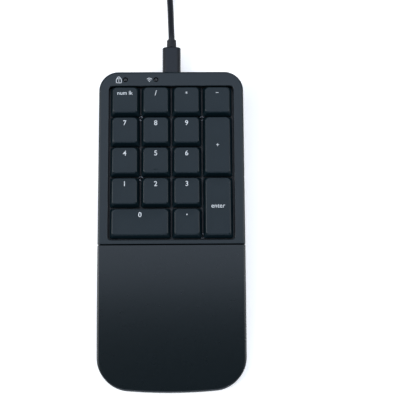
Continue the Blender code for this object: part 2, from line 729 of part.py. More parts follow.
def make_switch(name, centre, deck):
    """Switch housing: clipped in the plate, open down the middle for its slider."""
    flange = SWITCH_BODY + 2 * SWITCH_FLANGE_LIP
    seat = PLATE_TOP + CLEARANCE
    shoulder = seat + SWITCH_FLANGE_HEIGHT
    bm = bmesh.new()
    add_tube(bm, [
        level(square(SWITCH_BODY), SWITCH_BOTTOM),
        level(square(SWITCH_BODY), seat),
        level(square(flange), seat),
        level(square(flange), shoulder),
        level(square(SWITCH_SHOULDER), shoulder),
        level(square(SWITCH_CROWN), SWITCH_TOP),
        level(square(SWITCH_HOLE), SWITCH_TOP),
        level(square(SWITCH_HOLE), SWITCH_BOTTOM)])
    solid(f"switch_{name}", bm, "switch_plastic", deck, (*centre, 0.0))


def cap_ring(width, depth, z, side, front, rear, radius):
    """One ring of a keycap, drawn in from the base by the given runs."""
    half = (depth * KEY_PITCH - CAP_GAP) / 2
    points = outline(width * KEY_PITCH - CAP_GAP - 2 * side, -half + front, half - rear,
                     radius, radius)
    return level(points, z)


def make_keycap(name, centre, width, depth, deck):
    """Hollow cap with a dished top, its slider and, on a two-unit key, the stabiliser's legs."""
    post = outline(SLIDER_WIDTH, -SLIDER_WIDTH / 2, SLIDER_WIDTH / 2, 0.0, 0.0)
    wall = CAP_WALL
    runs = (CAP_SIDE_RUN, CAP_FRONT_RUN, CAP_REAR_RUN)

    def top_ring(inset, z, radius):
        return cap_ring(width, depth, z, *[run + inset for run in runs], radius)

    bm = bmesh.new()
    add_loft(bm, [
        level(post, CAP_CEILING - SLIDER_REACH),
        level(post, CAP_CEILING),
        top_ring(CAP_ROOF, CAP_CEILING, CAP_TOP_RADIUS - CAP_ROOF),
        cap_ring(width, depth, CAP_BASE, wall, wall, wall, 0.0),
        cap_ring(width, depth, CAP_BASE, 0.0, 0.0, 0.0, CAP_BASE_RADIUS),
        top_ring(0.0, CAP_RISE - CAP_RIM, CAP_TOP_RADIUS),
        top_ring(ARC_MIDDLE * CAP_RIM, CAP_RISE - ARC_MIDDLE * CAP_RIM, CAP_TOP_RADIUS),
        top_ring(CAP_RIM, CAP_RISE, CAP_TOP_RADIUS),
        top_ring(CAP_DISH_BORDER, CAP_RISE - CAP_DISH, CAP_TOP_RADIUS)])
    cap = solid(f"keycap_{name}", bm, "key_plastic", deck, (*centre, 0.0))
    if width * depth > 1:
        add_legs(name, cap, centre, width > depth, deck)


def add_legs(name, cap, centre, along_x, deck):
    half = LEG_WIDTH / 2
    middle = WIRE_BAR_OFFSET - WIRE_ARM + half / 3
    bm = bmesh.new()
    for side in (-WIRE_HALF_SPAN, WIRE_HALF_SPAN):
        x, y = (side, middle) if along_x else (middle, side)
        add_box(bm, (x - half, y - half, LEG_BOTTOM), (x + half, y + half, CAP_CEILING + CAP_ROOF / 3))
    combine(cap, helper(f"legs_{name}", bm, deck, (*centre, 0.0)), "UNION")


def make_stabiliser(name, centre, turn, deck):
    """Bent wire that turns in the plate's channel; its object stands on the bar's axis."""
    rotation = Matrix.Rotation(turn, 3, "Z")
    bar = rotation @ Vector((0.0, WIRE_BAR_OFFSET, 0.0))
    hinge = empty(f"stabiliser_axis_{name}", (centre[0] + bar.x, centre[1] + bar.y, WIRE_Z),
                  deck, (0.0, 0.0, turn))
    tip = Vector((0.0, -math.cos(WIRE_REST_ANGLE), math.sin(WIRE_REST_ANGLE)))
    points = []
    for side in (-1, 1):
        corner = Vector((side * WIRE_HALF_SPAN, 0.0, 0.0))
        arm = [corner + tip * WIRE_ARM, corner + tip * WIRE_BEND,
               corner - Vector((side * WIRE_BEND, 0.0, 0.0))]
        points += arm if side < 0 else arm[::-1]
    make_tube(f"stabiliser_{name}", points, WIRE_DIAMETER, "wire_steel", hinge)


def make_tube(name, points, diameter, finish, parent=None):
    """A round tube through the points, with closed ends."""
    curve = bpy.data.curves.new(name, "CURVE")
    curve.dimensions = "3D"
    curve.bevel_depth = diameter / 2
    curve.bevel_resolution = 2
    curve.use_fill_caps = True
    spline = curve.splines.new("POLY")
    spline.points.add(len(points) - 1)
    for target, point in zip(spline.points, points):
        target.co = (*point, 1.0)
    return place(bpy.data.objects.new(name, curve), finish, parent, (0.0, 0.0, 0.0))


def make_socket(plug):
    """Charging socket under the board: a metal cup with a tongue in it."""
    back = -SOCKET_DEPTH
    bm = bmesh.new()
    add_bar(bm, SOCKET_WIDTH, SOCKET_HEIGHT, SOCKET_HEIGHT / 2, back, -CLEARANCE)
    socket = solid("usb_socket", bm, "plug_metal", plug)

    bm = bmesh.new()
    inner = SOCKET_HEIGHT - 2 * SOCKET_WALL
    add_bar(bm, SOCKET_WIDTH - 2 * SOCKET_WALL, inner, inner / 2, back + SOCKET_BACK, WALL)
    combine(socket, helper("socket_mouth", bm, plug), "DIFFERENCE")

    bm = bmesh.new()
    half, thin = TONGUE_WIDTH / 2, TONGUE_THICKNESS / 2
    add_box(bm, (-half, back + SOCKET_BACK / 2, -thin), (half, -2.0 * MM, thin))
    combine(socket, helper("socket_tongue", bm, plug), "UNION")


def make_plug(plug):
    """The lead's plug: a metal shell in the socket, a grip behind the wall and a strain relief."""
    height = SOCKET_HEIGHT - 2 * SOCKET_WALL - 2 * CLEARANCE
    width = SOCKET_WIDTH - 2 * SOCKET_WALL - 2 * CLEARANCE
    front = -SOCKET_DEPTH + SOCKET_BACK + CLEARANCE
    bm = bmesh.new()
    add_bar(bm, width, height, height / 2, front, 0.0)
    shell = solid("usb_c_plug_shell", bm, "plug_metal", plug)
    bm = bmesh.new()
    inner = height - 2 * PLUG_WALL
    add_bar(bm, width - 2 * PLUG_WALL, inner, inner / 2, front - WALL, -PLUG_MOUTH_FLOOR)
    combine(shell, helper("plug_mouth", bm, plug), "DIFFERENCE")

    bm = bmesh.new()
    add_bar(bm, GRIP_WIDTH, GRIP_HEIGHT, GRIP_RADIUS, CLEARANCE, CLEARANCE + GRIP_LENGTH, 4)
    solid("usb_c_plug_grip", bm, "grip_plastic", plug)

    start = 2 * CLEARANCE + GRIP_LENGTH
    bm = bmesh.new()
    across = Matrix.Translation((0.0, start + RELIEF_LENGTH / 2, 0.0))
    bmesh.ops.create_cone(
        bm, cap_ends=True, segments=16, radius1=RELIEF_DIAMETER / 2,
        radius2=CABLE_DIAMETER / 2 + RELIEF_LIP, depth=RELIEF_LENGTH,
        matrix=across @ Matrix.Rotation(-math.pi / 2, 4, "X"))
    solid("strain_relief", bm, "lead_rubber", plug)


def smooth_route(points, steps):
    """Points along a Catmull-Rom curve through the given points."""
    ends = [2 * points[0] - points[1], *points, 2 * points[-1] - points[-2]]
    made = []
    for a, b, c, d in zip(ends, ends[1:], ends[2:], ends[3:]):
        for step in range(steps):
            t = step / steps
            made.append(0.5 * (2 * b + (c - a) * t + (2 * a - 5 * b + 4 * c - d) * t ** 2
                               + (3 * b - a - 3 * c + d) * t ** 3))
    return made + [points[-1]]


def relief_end():
    """Where the cable leaves the strain relief, and which way it points, in the world."""
    along = 3 * CLEARANCE + GRIP_LENGTH + RELIEF_LENGTH
    tilt = Matrix.Rotation(DECK_TILT, 3, "X")
    socket_mouth = Vector((0.0, DECK_REAR, SOCKET_Z))
    start = tilt @ (socket_mouth + Vector((0.0, along, 0.0)))
    return start + Vector((0.0, KEYS_Y, deck_height(KEYS_Y))), tilt @ Vector((0.0, 1.0, 0.0))


def make_coil():
    """Outer shape of the coiled lead: a ring with a chamfered section."""
    half = COIL_ROWS * CABLE_DIAMETER / 2 + COIL_SLACK
    corner = COIL_CORNER * half
    section = [(half, corner), (half, 2 * half - corner), (half - corner, 2 * half),
               (corner - half, 2 * half), (-half, 2 * half - corner), (-half, corner),
               (corner - half, 0.0), (half - corner, 0.0)]
    rings = []
    for step in range(COIL_SEGMENTS):
        turn = 2 * math.pi * step / COIL_SEGMENTS
        rings.append([((COIL_RADIUS + out) * math.cos(turn), (COIL_RADIUS + out) * math.sin(turn), z)
                      for out, z in section])
    bm = bmesh.new()
    add_tube(bm, rings)
    solid("cable_coil", bm, "lead_rubber", location=COIL_CENTRE)


def make_lead():
    """The charging lead: a free stretch, a flat coil, a tail and the far plug."""
    start, along = relief_end()
    near = [start, start + STRAIGHT_START * along, *[Vector(point) * MM for point in CABLE_ROUTE]]
    make_tube("cable", smooth_route(near, ROUTE_STEPS), CABLE_DIAMETER, "lead_rubber")
    make_coil()
    tail = [Vector(point) * MM for point in TAIL_ROUTE]
    make_tube("cable_tail", smooth_route(tail, ROUTE_STEPS), CABLE_DIAMETER, "lead_rubber")

    x, y, z = FAR_PLUG_START
    width, height, length = FAR_GRIP_SIZE
    plug = empty("far_plug", (x, y, z), None, (0.0, 0.0, math.pi / 2))
    bm = bmesh.new()
    add_bar(bm, width, height, FAR_GRIP_RADIUS, 0.0, length)
    solid("usb_a_plug_grip", bm, "grip_plastic", plug)

    width, height, shell_length = FAR_SHELL_SIZE
    shell_start = length + CLEARANCE
    shell_end = shell_start + shell_length
    bm = bmesh.new()
    add_bar(bm, width, height, FAR_SHELL_RADIUS, shell_start, shell_end)
    shell = solid("usb_a_plug_shell", bm, "plug_metal", plug)
    half, top = width / 2 - FAR_SHELL_WALL, height / 2 - FAR_SHELL_WALL
    bm = bmesh.new()
    add_box(bm, (-half, shell_end - FAR_SLOT_DEPTH, top - FAR_SLOT_HEIGHT),
            (half, shell_end + WALL, top))
    combine(shell, helper("far_plug_mouth", bm, plug), "DIFFERENCE")


def main():
    clear_scene()
    deck = empty("deck", (0.0, KEYS_Y, deck_height(KEYS_Y)), rotation=(DECK_TILT, 0.0, 0.0))
    plug = empty("charging_plug", (0.0, DECK_REAR, SOCKET_Z), deck)
    make_upper_case(deck, plug)
    make_palm_cover()
    make_lower_case()
    make_feet()
    make_controls()
    make_switch_plate(deck)
    make_circuit_board(deck)
    make_battery()
    make_lamps(deck)
    for name, *cell in KEYS:
        make_switch(name, key_centre(*cell), deck)
        make_keycap(name, key_centre(*cell), *cell[2:], deck)
    for name, centre, turn in stabilised_keys():
        make_stabiliser(name, centre, turn, deck)
    make_socket(plug)
    make_plug(plug)
    make_lead()


main()
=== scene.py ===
# %% [markdown]
# # A numeric keypad with a palm support and a charging lead
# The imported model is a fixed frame: its solids move, fit and carry load. This lesson keeps
# the inner solids, gives them finishes, and models finer pieces over the outer ones. Every
# place below comes from the frame's boxes, so a new piece lands where its solid is.

# %% Load the frame
import math

import bmesh
import bpy
from mathutils import Matrix, Vector


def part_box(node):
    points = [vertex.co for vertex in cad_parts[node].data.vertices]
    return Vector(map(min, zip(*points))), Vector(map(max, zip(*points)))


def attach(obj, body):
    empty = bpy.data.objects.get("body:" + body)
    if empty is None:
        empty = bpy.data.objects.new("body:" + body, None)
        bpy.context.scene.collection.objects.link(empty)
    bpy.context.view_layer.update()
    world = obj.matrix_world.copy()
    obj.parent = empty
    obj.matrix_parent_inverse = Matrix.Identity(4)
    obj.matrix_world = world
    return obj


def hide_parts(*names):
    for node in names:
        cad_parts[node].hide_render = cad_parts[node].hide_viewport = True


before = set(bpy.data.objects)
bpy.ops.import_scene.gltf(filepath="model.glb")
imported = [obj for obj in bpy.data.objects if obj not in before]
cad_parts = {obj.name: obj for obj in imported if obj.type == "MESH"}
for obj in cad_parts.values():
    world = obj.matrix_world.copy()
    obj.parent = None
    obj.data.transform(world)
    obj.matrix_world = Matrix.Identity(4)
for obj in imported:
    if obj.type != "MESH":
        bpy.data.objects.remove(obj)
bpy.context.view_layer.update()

# %% [markdown]
# ## Sizes
# Blender works in metres, so a small object is easiest to read in millimetres times MM. Two
# places that differ by less than NEAR, a thousandth of a millimetre, count as the same. The
# case's own box gives its width and its ends. The deck is a plane that rises towards the rear
# by DECK_TILT, and the keys stand on it in a square grid.

# %% Sizes shared by several pieces
MM = 0.001
NEAR = 1e-6
DECK_TILT = math.radians(3.0)
PITCH = 19.05 * MM
COLUMNS, ROWS = 4, 5
OPENING = (COLUMNS * PITCH + 1.2 * MM, ROWS * PITCH + 1.1 * MM)
FRONT_STRIP = 2.4 * MM
CAP_RISE = 2.2 * MM
CAP_HEIGHT = 3.9 * MM
CAP_GAP = 0.95 * MM
PLATE_DEPTH = -5.0 * MM
SEAM_HEIGHT = 14.5 * MM
CASE_WALL, SEAM_WALL, ROOF = 2.0 * MM, 1.4 * MM, 1.6 * MM
EDGE_FILLET = 1.4 * MM

(_, DECK_FRONT, COVER_BOTTOM), (HALF_WIDTH, DECK_REAR, _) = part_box("upper_case")
(_, PALM_FRONT, _), (_, PALM_REAR, _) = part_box("palm_cover")
(_, _, BASE_BOTTOM), (_, _, _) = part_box("lower_case")
KEYS_Y = DECK_FRONT + FRONT_STRIP + OPENING[1] / 2
print("deck", DECK_FRONT, DECK_REAR, "palm", PALM_FRONT, PALM_REAR)


def deck_height(y):
    """Height of the bezel's plane over the table."""
    return SEAM_HEIGHT + (y - DECK_FRONT) * math.tan(DECK_TILT)


TO_DECK = Matrix.Translation((0.0, KEYS_Y, deck_height(KEYS_Y))) @ Matrix.Rotation(DECK_TILT, 4, "X")

# %% [markdown]
# ## Camera
# It stands over the palm support, looks down on the keys and leans towards the rear.

# %% Camera
CAMERA_PLACE = Vector((12.2, -83.2, 507.8)) * MM
CAMERA_TARGET = Vector((17.5, 16.9, 15.9)) * MM
CAMERA_ROLL = math.radians(0.4)
LENS = 73.9


def point_at(obj, target, roll=0.0):
    """Turn an object so that its -Z looks at a target and its X stays along the table's X."""
    back = (obj.location - target).normalized()
    right = Vector((math.sin(roll), math.cos(roll), 0.0)).cross(back).normalized()
    obj.rotation_euler = Matrix((right, back.cross(right), back)).transposed().to_euler()


bpy.ops.object.camera_add(location=CAMERA_PLACE)
camera = bpy.context.object
camera.name = "camera"
camera.data.lens = LENS
point_at(camera, CAMERA_TARGET, CAMERA_ROLL)
bpy.context.scene.camera = camera
print("camera", tuple(camera.location), "lens", LENS)

# %% [markdown]
# ## Modelling helpers
# The operators act on whatever is selected, so each helper starts by deselecting everything.
# Selections inside a mesh are made in code, from a test on a vertex's place.


# %% Helpers for objects
def deselect():
    if bpy.context.object and bpy.context.object.mode != "OBJECT":
        bpy.ops.object.mode_set(mode="OBJECT")
    bpy.ops.object.select_all(action="DESELECT")


def activate(*objects):
    """Select these objects alone; the last one is the active one."""
    deselect()
    for obj in objects:
        obj.select_set(True)
    bpy.context.view_layer.objects.active = objects[-1]


def apply_place(obj):
    """Move an object's place into its mesh."""
    activate(obj)
    bpy.ops.object.transform_apply(location=True, rotation=True, scale=True)


def apply_modifiers(obj):
    activate(obj)
    for modifier in list(obj.modifiers):
        bpy.ops.object.modifier_apply(modifier=modifier.name)


def boolean(obj, tool, operation="DIFFERENCE"):
    """Cut or join with a tool, then remove the tool."""
    step = obj.modifiers.new("cut", "BOOLEAN")
    step.operation = operation
    step.object = tool
    step.solver = "EXACT"
    apply_modifiers(obj)
    bpy.data.objects.remove(tool, do_unlink=True)


def join(name, *objects):
    activate(*objects[1:], objects[0])
    bpy.ops.object.join()
    objects[0].name = objects[0].data.name = name
    return objects[0]


def duplicate(obj, name, matrix):
    """A copy with its own mesh, placed by a matrix that goes into the mesh."""
    copy = obj.copy()
    copy.data = obj.data.copy()
    bpy.context.scene.collection.objects.link(copy)
    copy.name = copy.data.name = name
    copy.data.transform(matrix)
    return copy


def smooth(obj, angle=35.0):
    """Shade smoothly except at sharp edges; large faces keep their own direction."""
    activate(obj)
    bpy.ops.object.shade_smooth_by_angle(angle=math.radians(angle))
    weighted = obj.modifiers.new("weighted", "WEIGHTED_NORMAL")
    weighted.keep_sharp = True
    weighted.weight = 50
    apply_modifiers(obj)
    return obj


# %% Helpers for edit mode
def edit(obj, kind="VERT"):
    activate(obj)
    bpy.ops.object.mode_set(mode="EDIT")
    bpy.ops.mesh.select_mode(type=kind)
    bpy.ops.mesh.select_all(action="DESELECT")


def done():
    bpy.ops.object.mode_set(mode="OBJECT")


def pick(obj, kind, test):
    """Select the vertices, edges or faces that pass a test, and count them."""
    bpy.ops.mesh.select_mode(type=kind)
    bpy.ops.mesh.select_all(action="DESELECT")
    mesh = bmesh.from_edit_mesh(obj.data)
    found = [part for part in {"VERT": mesh.verts, "EDGE": mesh.edges, "FACE": mesh.faces}[kind]
             if test(part)]
    for part in found:
        part.select_set(True)
    mesh.select_flush_mode()
    bmesh.update_edit_mesh(obj.data)
    return len(found)


def middle(edge):
    return (edge.verts[0].co + edge.verts[1].co) / 2


def extrude(offset):
    bpy.ops.mesh.extrude_region_move(TRANSFORM_OT_translate={"value": offset})


def face_outwards():
    bpy.ops.mesh.select_all(action="SELECT")
    bpy.ops.mesh.normals_make_consistent(inside=False)


def rounded_plane(name, width, front, rear, z, front_radius, rear_radius, segments=10):
    """A flat face with round corners: a plane whose corner vertices are bevelled."""
    deselect()
    bpy.ops.mesh.primitive_plane_add(size=1.0, location=(0.0, (front + rear) / 2, z))
    plane = bpy.context.object
    plane.name = plane.data.name = name
    plane.scale = (width, rear - front, 1.0)
    apply_place(plane)
    edit(plane)
    for radius, at_front in ((front_radius, True), (rear_radius, False)):
        if radius:
            half_way = (front + rear) / 2
            pick(plane, "VERT", lambda v: (v.co.y < half_way) == at_front
                 and abs(abs(v.co.x) - width / 2) < NEAR
                 and min(abs(v.co.y - front), abs(v.co.y - rear)) < NEAR)
            bpy.ops.mesh.bevel(offset=radius, offset_type="OFFSET", segments=segments,
                               affect="VERTICES", clamp_overlap=False)
    done()
    return plane


def block(name, width, front, rear, low, high, front_radius=0.0, rear_radius=0.0, segments=10):
    """An upright block with round corners."""
    made = rounded_plane(name, width, front, rear, low, front_radius, rear_radius, segments)
    edit(made)
    bpy.ops.mesh.select_all(action="SELECT")
    extrude((0.0, 0.0, high - low))
    face_outwards()
    done()
    return made


def cylinder(name, centre, radius, low, high, vertices=48):
    deselect()
    bpy.ops.mesh.primitive_cylinder_add(
        radius=radius, depth=high - low, vertices=vertices,
        location=(centre[0], centre[1], (low + high) / 2))
    made = bpy.context.object
    made.name = made.data.name = name
    apply_place(made)
    return made


print("helpers ready")

# %% [markdown]
# ## Shader helper
# A material's pattern is arithmetic on sockets. Wrapping a socket in a class whose operators
# add Math nodes lets a pattern be written as an expression, and one method adds any other node.


# %% Socket arithmetic
class Wave:
    """A socket of a node tree that can be used in a Python expression."""

    def __init__(self, tree, socket):
        self.tree = tree
        self.socket = socket

    def node(self, kind, settings=None, output=0, **values):
        """Add a node: its settings first, then values or links by socket name or _index."""
        made = self.tree.nodes.new(kind)
        for name, value in (settings or {}).items():
            setattr(made, name, value)
        for name, value in values.items():
            place = int(name[1:]) if name[0] == "_" else name.replace("_", " ")
            if isinstance(value, Wave):
                self.tree.links.new(value.socket, made.inputs[place])
            else:
                made.inputs[place].default_value = value
        return Wave(self.tree, made.outputs[output])

    def math(self, operation, other=0.0, third=0.0):
        return self.node("ShaderNodeMath", {"operation": operation}, _0=self, _1=other, _2=third)

    def __add__(self, other):
        return self.math("ADD", other)

    def __sub__(self, other):
        return self.math("SUBTRACT", other)

    def __mul__(self, other):
        return self.math("MULTIPLY", other)

    def __truediv__(self, other):
        return self.math("DIVIDE", other)

    def __rsub__(self, other):
        return (self * -1.0) + other

    __radd__ = __add__
    __rmul__ = __mul__

    def ramp(self, low, high, start=0.0, end=1.0):
        """Map low..high onto start..end smoothly, and hold the ends."""
        return self.node("ShaderNodeMapRange", {"interpolation_type": "SMOOTHSTEP"},
                         Value=self, From_Min=low, From_Max=high, To_Min=start, To_Max=end)

    def noise(self, scale, detail=2.0, roughness=0.5, stretch=(1.0, 1.0, 1.0)):
        """Noise with this many waves per metre, read from this vector."""
        place = self.node("ShaderNodeMapping", Vector=self, Scale=stretch)
        return place.node("ShaderNodeTexNoise", Vector=place, Scale=scale, Detail=detail,
                          Roughness=roughness)

    def mix(self, first, second):
        """Blend two colours by this value."""
        made = self.tree.nodes.new("ShaderNodeMix")
        made.data_type = "RGBA"
        self.tree.links.new(self.socket, made.inputs["Factor"])
        for socket, value in ((made.inputs[6], first), (made.inputs[7], second)):
            if isinstance(value, Wave):
                self.tree.links.new(value.socket, socket)
            else:
                socket.default_value = (*value, 1.0)
        return Wave(self.tree, made.outputs[2])


class Finish:
    """A material with a Principled shader, and the vector that its patterns read."""

    def __init__(self, name, **constants):
        self.material = bpy.data.materials.new(name)
        self.material.use_nodes = True
        self.tree = self.material.node_tree
        self.shader = self.tree.nodes["Principled BSDF"]
        for socket, value in constants.items():
            self.shader.inputs[socket.replace("_", " ")].default_value = value
        coordinates = self.tree.nodes.new("ShaderNodeTexCoord")
        self.place = Wave(self.tree, coordinates.outputs["Object"])

    def split(self):
        """The X, Y and Z of the place, in metres."""
        node = self.tree.nodes.new("ShaderNodeSeparateXYZ")
        self.tree.links.new(self.place.socket, node.inputs[0])
        return [Wave(self.tree, output) for output in node.outputs]

    def feed(self, socket, wave):
        self.tree.links.new(wave.socket, self.shader.inputs[socket])

    def bump(self, height, depth, strength=1.0):
        """Let a height pattern (0 to 1) tilt the surface by up to depth metres."""
        made = height.node("ShaderNodeBump", Height=height, Distance=depth, Strength=strength)
        self.feed("Normal", made)


def coat(obj, *materials):
    """Give an object these materials in place of what it has."""
    obj.data.materials.clear()
    for made in materials:
        obj.data.materials.append(made)


print("shader helper ready")

# %% [markdown]
# ## Finishes of the case and the keys
# Moulded plastic of this kind has a fine spark-eroded grain, a satin gloss and hardly any
# change of colour. Three layers of noise do this: cloudy tint, patches of gloss, and grain for
# the bump. Key tops are also a little smoother in the middle, where fingers land.


# %% Moulded plastics
def moulded_plastic(name, colour, roughness, grain=0.00028, depth=0.00001, gloss=0.5):
    """Satin plastic with a cloudy tint, patchy gloss and a fine grain."""
    finish = Finish(name, Specular_IOR_Level=gloss)
    cloud = finish.place.noise(90.0, 3.0)
    flecks = finish.place.noise(2600.0, 2.0)
    light = tuple(1.1 * channel for channel in colour)
    dark = tuple(0.9 * channel for channel in colour)
    finish.feed("Base Color", (cloud * 0.7 + flecks * 0.3).mix(dark, light))
    patches = finish.place.noise(400.0, 2.0)
    finish.feed("Roughness", patches * 0.03 + (roughness - 0.015))
    finish.bump(finish.place.noise(1.0 / grain, 3.0, 0.6), depth)
    return finish


CASE_COLOUR = (0.0030, 0.0092, 0.0128)
PALM_COLOUR = (0.0042, 0.0080, 0.0100)
KEY_COLOUR = (0.0026, 0.0095, 0.0135)
case_plastic = moulded_plastic("case_plastic_fine", CASE_COLOUR, 0.32, gloss=0.41)
palm_plastic = moulded_plastic("palm_plastic_fine", PALM_COLOUR, 0.28, depth=0.000004, gloss=0.44)
key_plastic = moulded_plastic("key_plastic_fine", KEY_COLOUR, 0.33, grain=0.00022, gloss=0.31)


def polish_keys(finish):
    """Lower roughness towards the middle of each cell of the key grid."""
    x, y, _ = finish.split()
    across = ((x / PITCH).math("FRACT") - 0.5).math("ABSOLUTE")
    along = (((y - KEYS_Y) / PITCH + 0.5).math("FRACT") - 0.5).math("ABSOLUTE")
    away = (across * across + along * along).math("SQRT")
    worn = away.ramp(0.05, 0.36, 1.0, 0.0)
    patches = finish.place.noise(400.0, 2.0)
    finish.feed("Roughness", patches * 0.04 + 0.33 - worn * 0.05)


polish_keys(key_plastic)
print("plastics", case_plastic.material.name, palm_plastic.material.name, key_plastic.material.name)

# %% Printed ink, lamps, rubber and metal
legend_ink = Finish("legend_ink", Specular_IOR_Level=0.4)
ink_wear = legend_ink.place.noise(3000.0, 3.0)
legend_ink.feed("Base Color", ink_wear.mix((0.62, 0.65, 0.67), (0.74, 0.77, 0.79)))
legend_ink.feed("Roughness", ink_wear * 0.15 + 0.45)

lamp_lens = Finish("lamp_lens_smoked", IOR=1.49, Specular_IOR_Level=0.42)
lamp_core = lamp_lens.place.noise(900.0, 1.0)
lamp_lens.feed("Base Color", lamp_core.mix((0.006, 0.008, 0.010), (0.012, 0.015, 0.018)))
lamp_lens.feed("Roughness", lamp_core * 0.08 + 0.12)


def rubber(name, colour, roughness, depth):
    finish = Finish(name, Specular_IOR_Level=0.4)
    dust = finish.place.noise(700.0, 4.0, 0.65)
    finish.feed("Base Color", dust.mix(colour, tuple(1.6 * channel for channel in colour)))
    finish.feed("Roughness", dust * 0.12 + (roughness - 0.06))
    finish.bump(finish.place.noise(2500.0, 3.0), depth)
    return finish


cable_jacket = rubber("cable_jacket", (0.0048, 0.0060, 0.0090), 0.50, 0.00002)
foot_rubber = rubber("foot_rubber_fine", (0.012, 0.012, 0.013), 0.80, 0.00003)
grip_plastic = moulded_plastic("grip_plastic_fine", (0.0040, 0.0066, 0.0110), 0.38, gloss=0.36)
switch_plastic = moulded_plastic("switch_plastic_fine", (0.006, 0.006, 0.007), 0.40, depth=0.000004)


def metal(name, colour, roughness, stretch=(1.0, 1.0, 1.0), scale=1500.0, depth=0.000004):
    """Metal with fine drawn or rolled lines; stretch flattens the noise along the lines."""
    finish = Finish(name, Metallic=1.0)
    lines = finish.place.noise(scale, 4.0, 0.6, stretch)
    finish.feed("Base Color", lines.mix(tuple(0.85 * channel for channel in colour), colour))
    finish.feed("Roughness", lines * 0.16 + (roughness - 0.08))
    finish.bump(lines, depth)
    return finish


plug_nickel = metal("plug_nickel", (0.62, 0.61, 0.59), 0.26, (1.0, 0.08, 1.0))
screw_steel = metal("screw_steel", (0.26, 0.26, 0.27), 0.36)
# Painted shade: a near-black metal for the screws' cross recesses, darkening the drive's hollow as its
# shadow would.
recess_painted_shade = metal("screw_recess_painted_shade", (0.030, 0.030, 0.032), 0.55)
wire_steel = metal("wire_steel_drawn", (0.50, 0.50, 0.51), 0.30, (0.1, 1.0, 1.0))
battery_foil = metal("battery_foil_wrap", (0.45, 0.46, 0.48), 0.35, scale=600.0, depth=0.00003)

plate_coat = Finish("plate_powder_coat", Specular_IOR_Level=0.5)
powder = plate_coat.place.noise(3200.0, 2.0)
plate_coat.feed("Base Color", powder.mix((0.0030, 0.0034, 0.0040), (0.0050, 0.0056, 0.0064)))
plate_coat.feed("Roughness", powder * 0.12 + 0.32)
plate_coat.bump(powder, 0.00003)

board_mask = Finish("board_solder_mask", Specular_IOR_Level=0.5)
tracks = board_mask.place.node("ShaderNodeTexBrick", {"offset": 0.5}, output=1,
                               Vector=board_mask.place, Scale=260.0, Mortar_Size=0.03)
board_mask.feed("Base Color", tracks.mix((0.006, 0.035, 0.020), (0.012, 0.075, 0.040)))
board_mask.feed("Roughness", board_mask.place.noise(900.0, 2.0) * 0.1 + 0.32)
board_mask.bump(tracks, 0.00003)
print(len(bpy.data.materials), "materials")

# %% [markdown]
# ## The charging lead
# A lead is one length of something flexible. It leaves the strain relief, sinks to the table
# and runs to a neat coil, which holds the length that nobody needs. The coil is a loop in
# code: each turn keeps to one of seven places in the bundle and slides over to the next place
# in its last quarter, a cable's width away.

# %% The lead's route
CABLE_DIAMETER = 4.0 * MM
GRIP_START, GRIP_LENGTH, RELIEF_LENGTH = 0.3 * MM, 18.4 * MM, 5.2 * MM
SOCKET_DEPTH = -10.85 * MM
COIL_CENTRE = Vector((-24.0, 196.0, 0.0)) * MM
COIL_PLACES = ((26.0, 0), (22.0, 0), (18.0, 0), (18.0, 1), (22.0, 1), (26.0, 1), (26.0, 2))
COIL_FLOOR, COIL_LAYER = 2.95 * MM, 3.95 * MM
TURN_POINTS, SLIDE_FROM = 24, 0.75
CABLE_ROUTE = (
    (-0.2, 130.0, 9.6),
    (-0.5, 138.0, 7.4),
    (-0.9, 148.0, 4.6),
    (-1.5, 158.0, 2.8),
    (-1.9, 166.0, 2.2),
    (-2.0, 173.5, 2.2),
)
TO_COIL = ((-0.9, 180.0, 2.3), (0.8, 187.0, 2.6))
TAIL_ROUTE = (
    (-35.0, 220.6, 7.4),
    (-41.0, 218.8, 3.6),
    (-46.5, 218.0, 2.4),
    (-52.0, 218.2, 3.2),
    (-59.0, 218.4, 4.3),
)
relief_end = TO_DECK @ Vector((
    0.0, DECK_REAR - KEYS_Y + 3 * GRIP_START + GRIP_LENGTH + RELIEF_LENGTH, SOCKET_DEPTH))


def coil_points():
    """Seven and a quarter turns, counter-clockwise, from the right of the coil to its rear."""
    made = []
    last_place = COIL_PLACES[-1]
    for (radius, layer), (after, layer_after) in zip(COIL_PLACES, [*COIL_PLACES[1:], last_place]):
        for step in range(TURN_POINTS):
            part = step / TURN_POINTS
            slide = max(0.0, (part - SLIDE_FROM) / (1 - SLIDE_FROM))
            slide = slide * slide * (3 - 2 * slide)
            across = (radius + (after - radius) * slide) * MM
            height = COIL_FLOOR + COIL_LAYER * (layer + (layer_after - layer) * slide)
            turn = 2 * math.pi * part
            made.append(COIL_CENTRE + Vector((across * math.cos(turn), across * math.sin(turn), height)))
    for step in range(TURN_POINTS // 4 + 1):
        turn = 2 * math.pi * step / TURN_POINTS
        across = last_place[0] * MM
        height = COIL_FLOOR + COIL_LAYER * last_place[1]
        made.append(COIL_CENTRE + Vector((across * math.cos(turn), across * math.sin(turn), height)))
    return made


def smooth_route(points, steps):
    """Points along a Catmull-Rom curve through the given points."""
    ends = [2 * points[0] - points[1], *points, 2 * points[-1] - points[-2]]
    made = []
    for a, b, c, d in zip(ends, ends[1:], ends[2:], ends[3:]):
        for step in range(steps):
            t = step / steps
            made.append(0.5 * (2 * b + (c - a) * t + (2 * a - 5 * b + 4 * c - d) * t ** 2
                               + (3 * b - a - 3 * c + d) * t ** 3))
    return made + [points[-1]]


out_of_relief = (TO_DECK.to_3x3() @ Vector((0.0, 1.0, 0.0))) * 2.0 * MM
chosen = [relief_end, relief_end + out_of_relief, *[Vector(p) * MM for p in CABLE_ROUTE + TO_COIL],
          *coil_points(), *[Vector(p) * MM for p in TAIL_ROUTE]]
route = smooth_route(chosen, 2)
lead_length = sum((b - a).length for a, b in zip(route, route[1:]))
print("lead", round(lead_length, 3), "m in", len(route), "points")

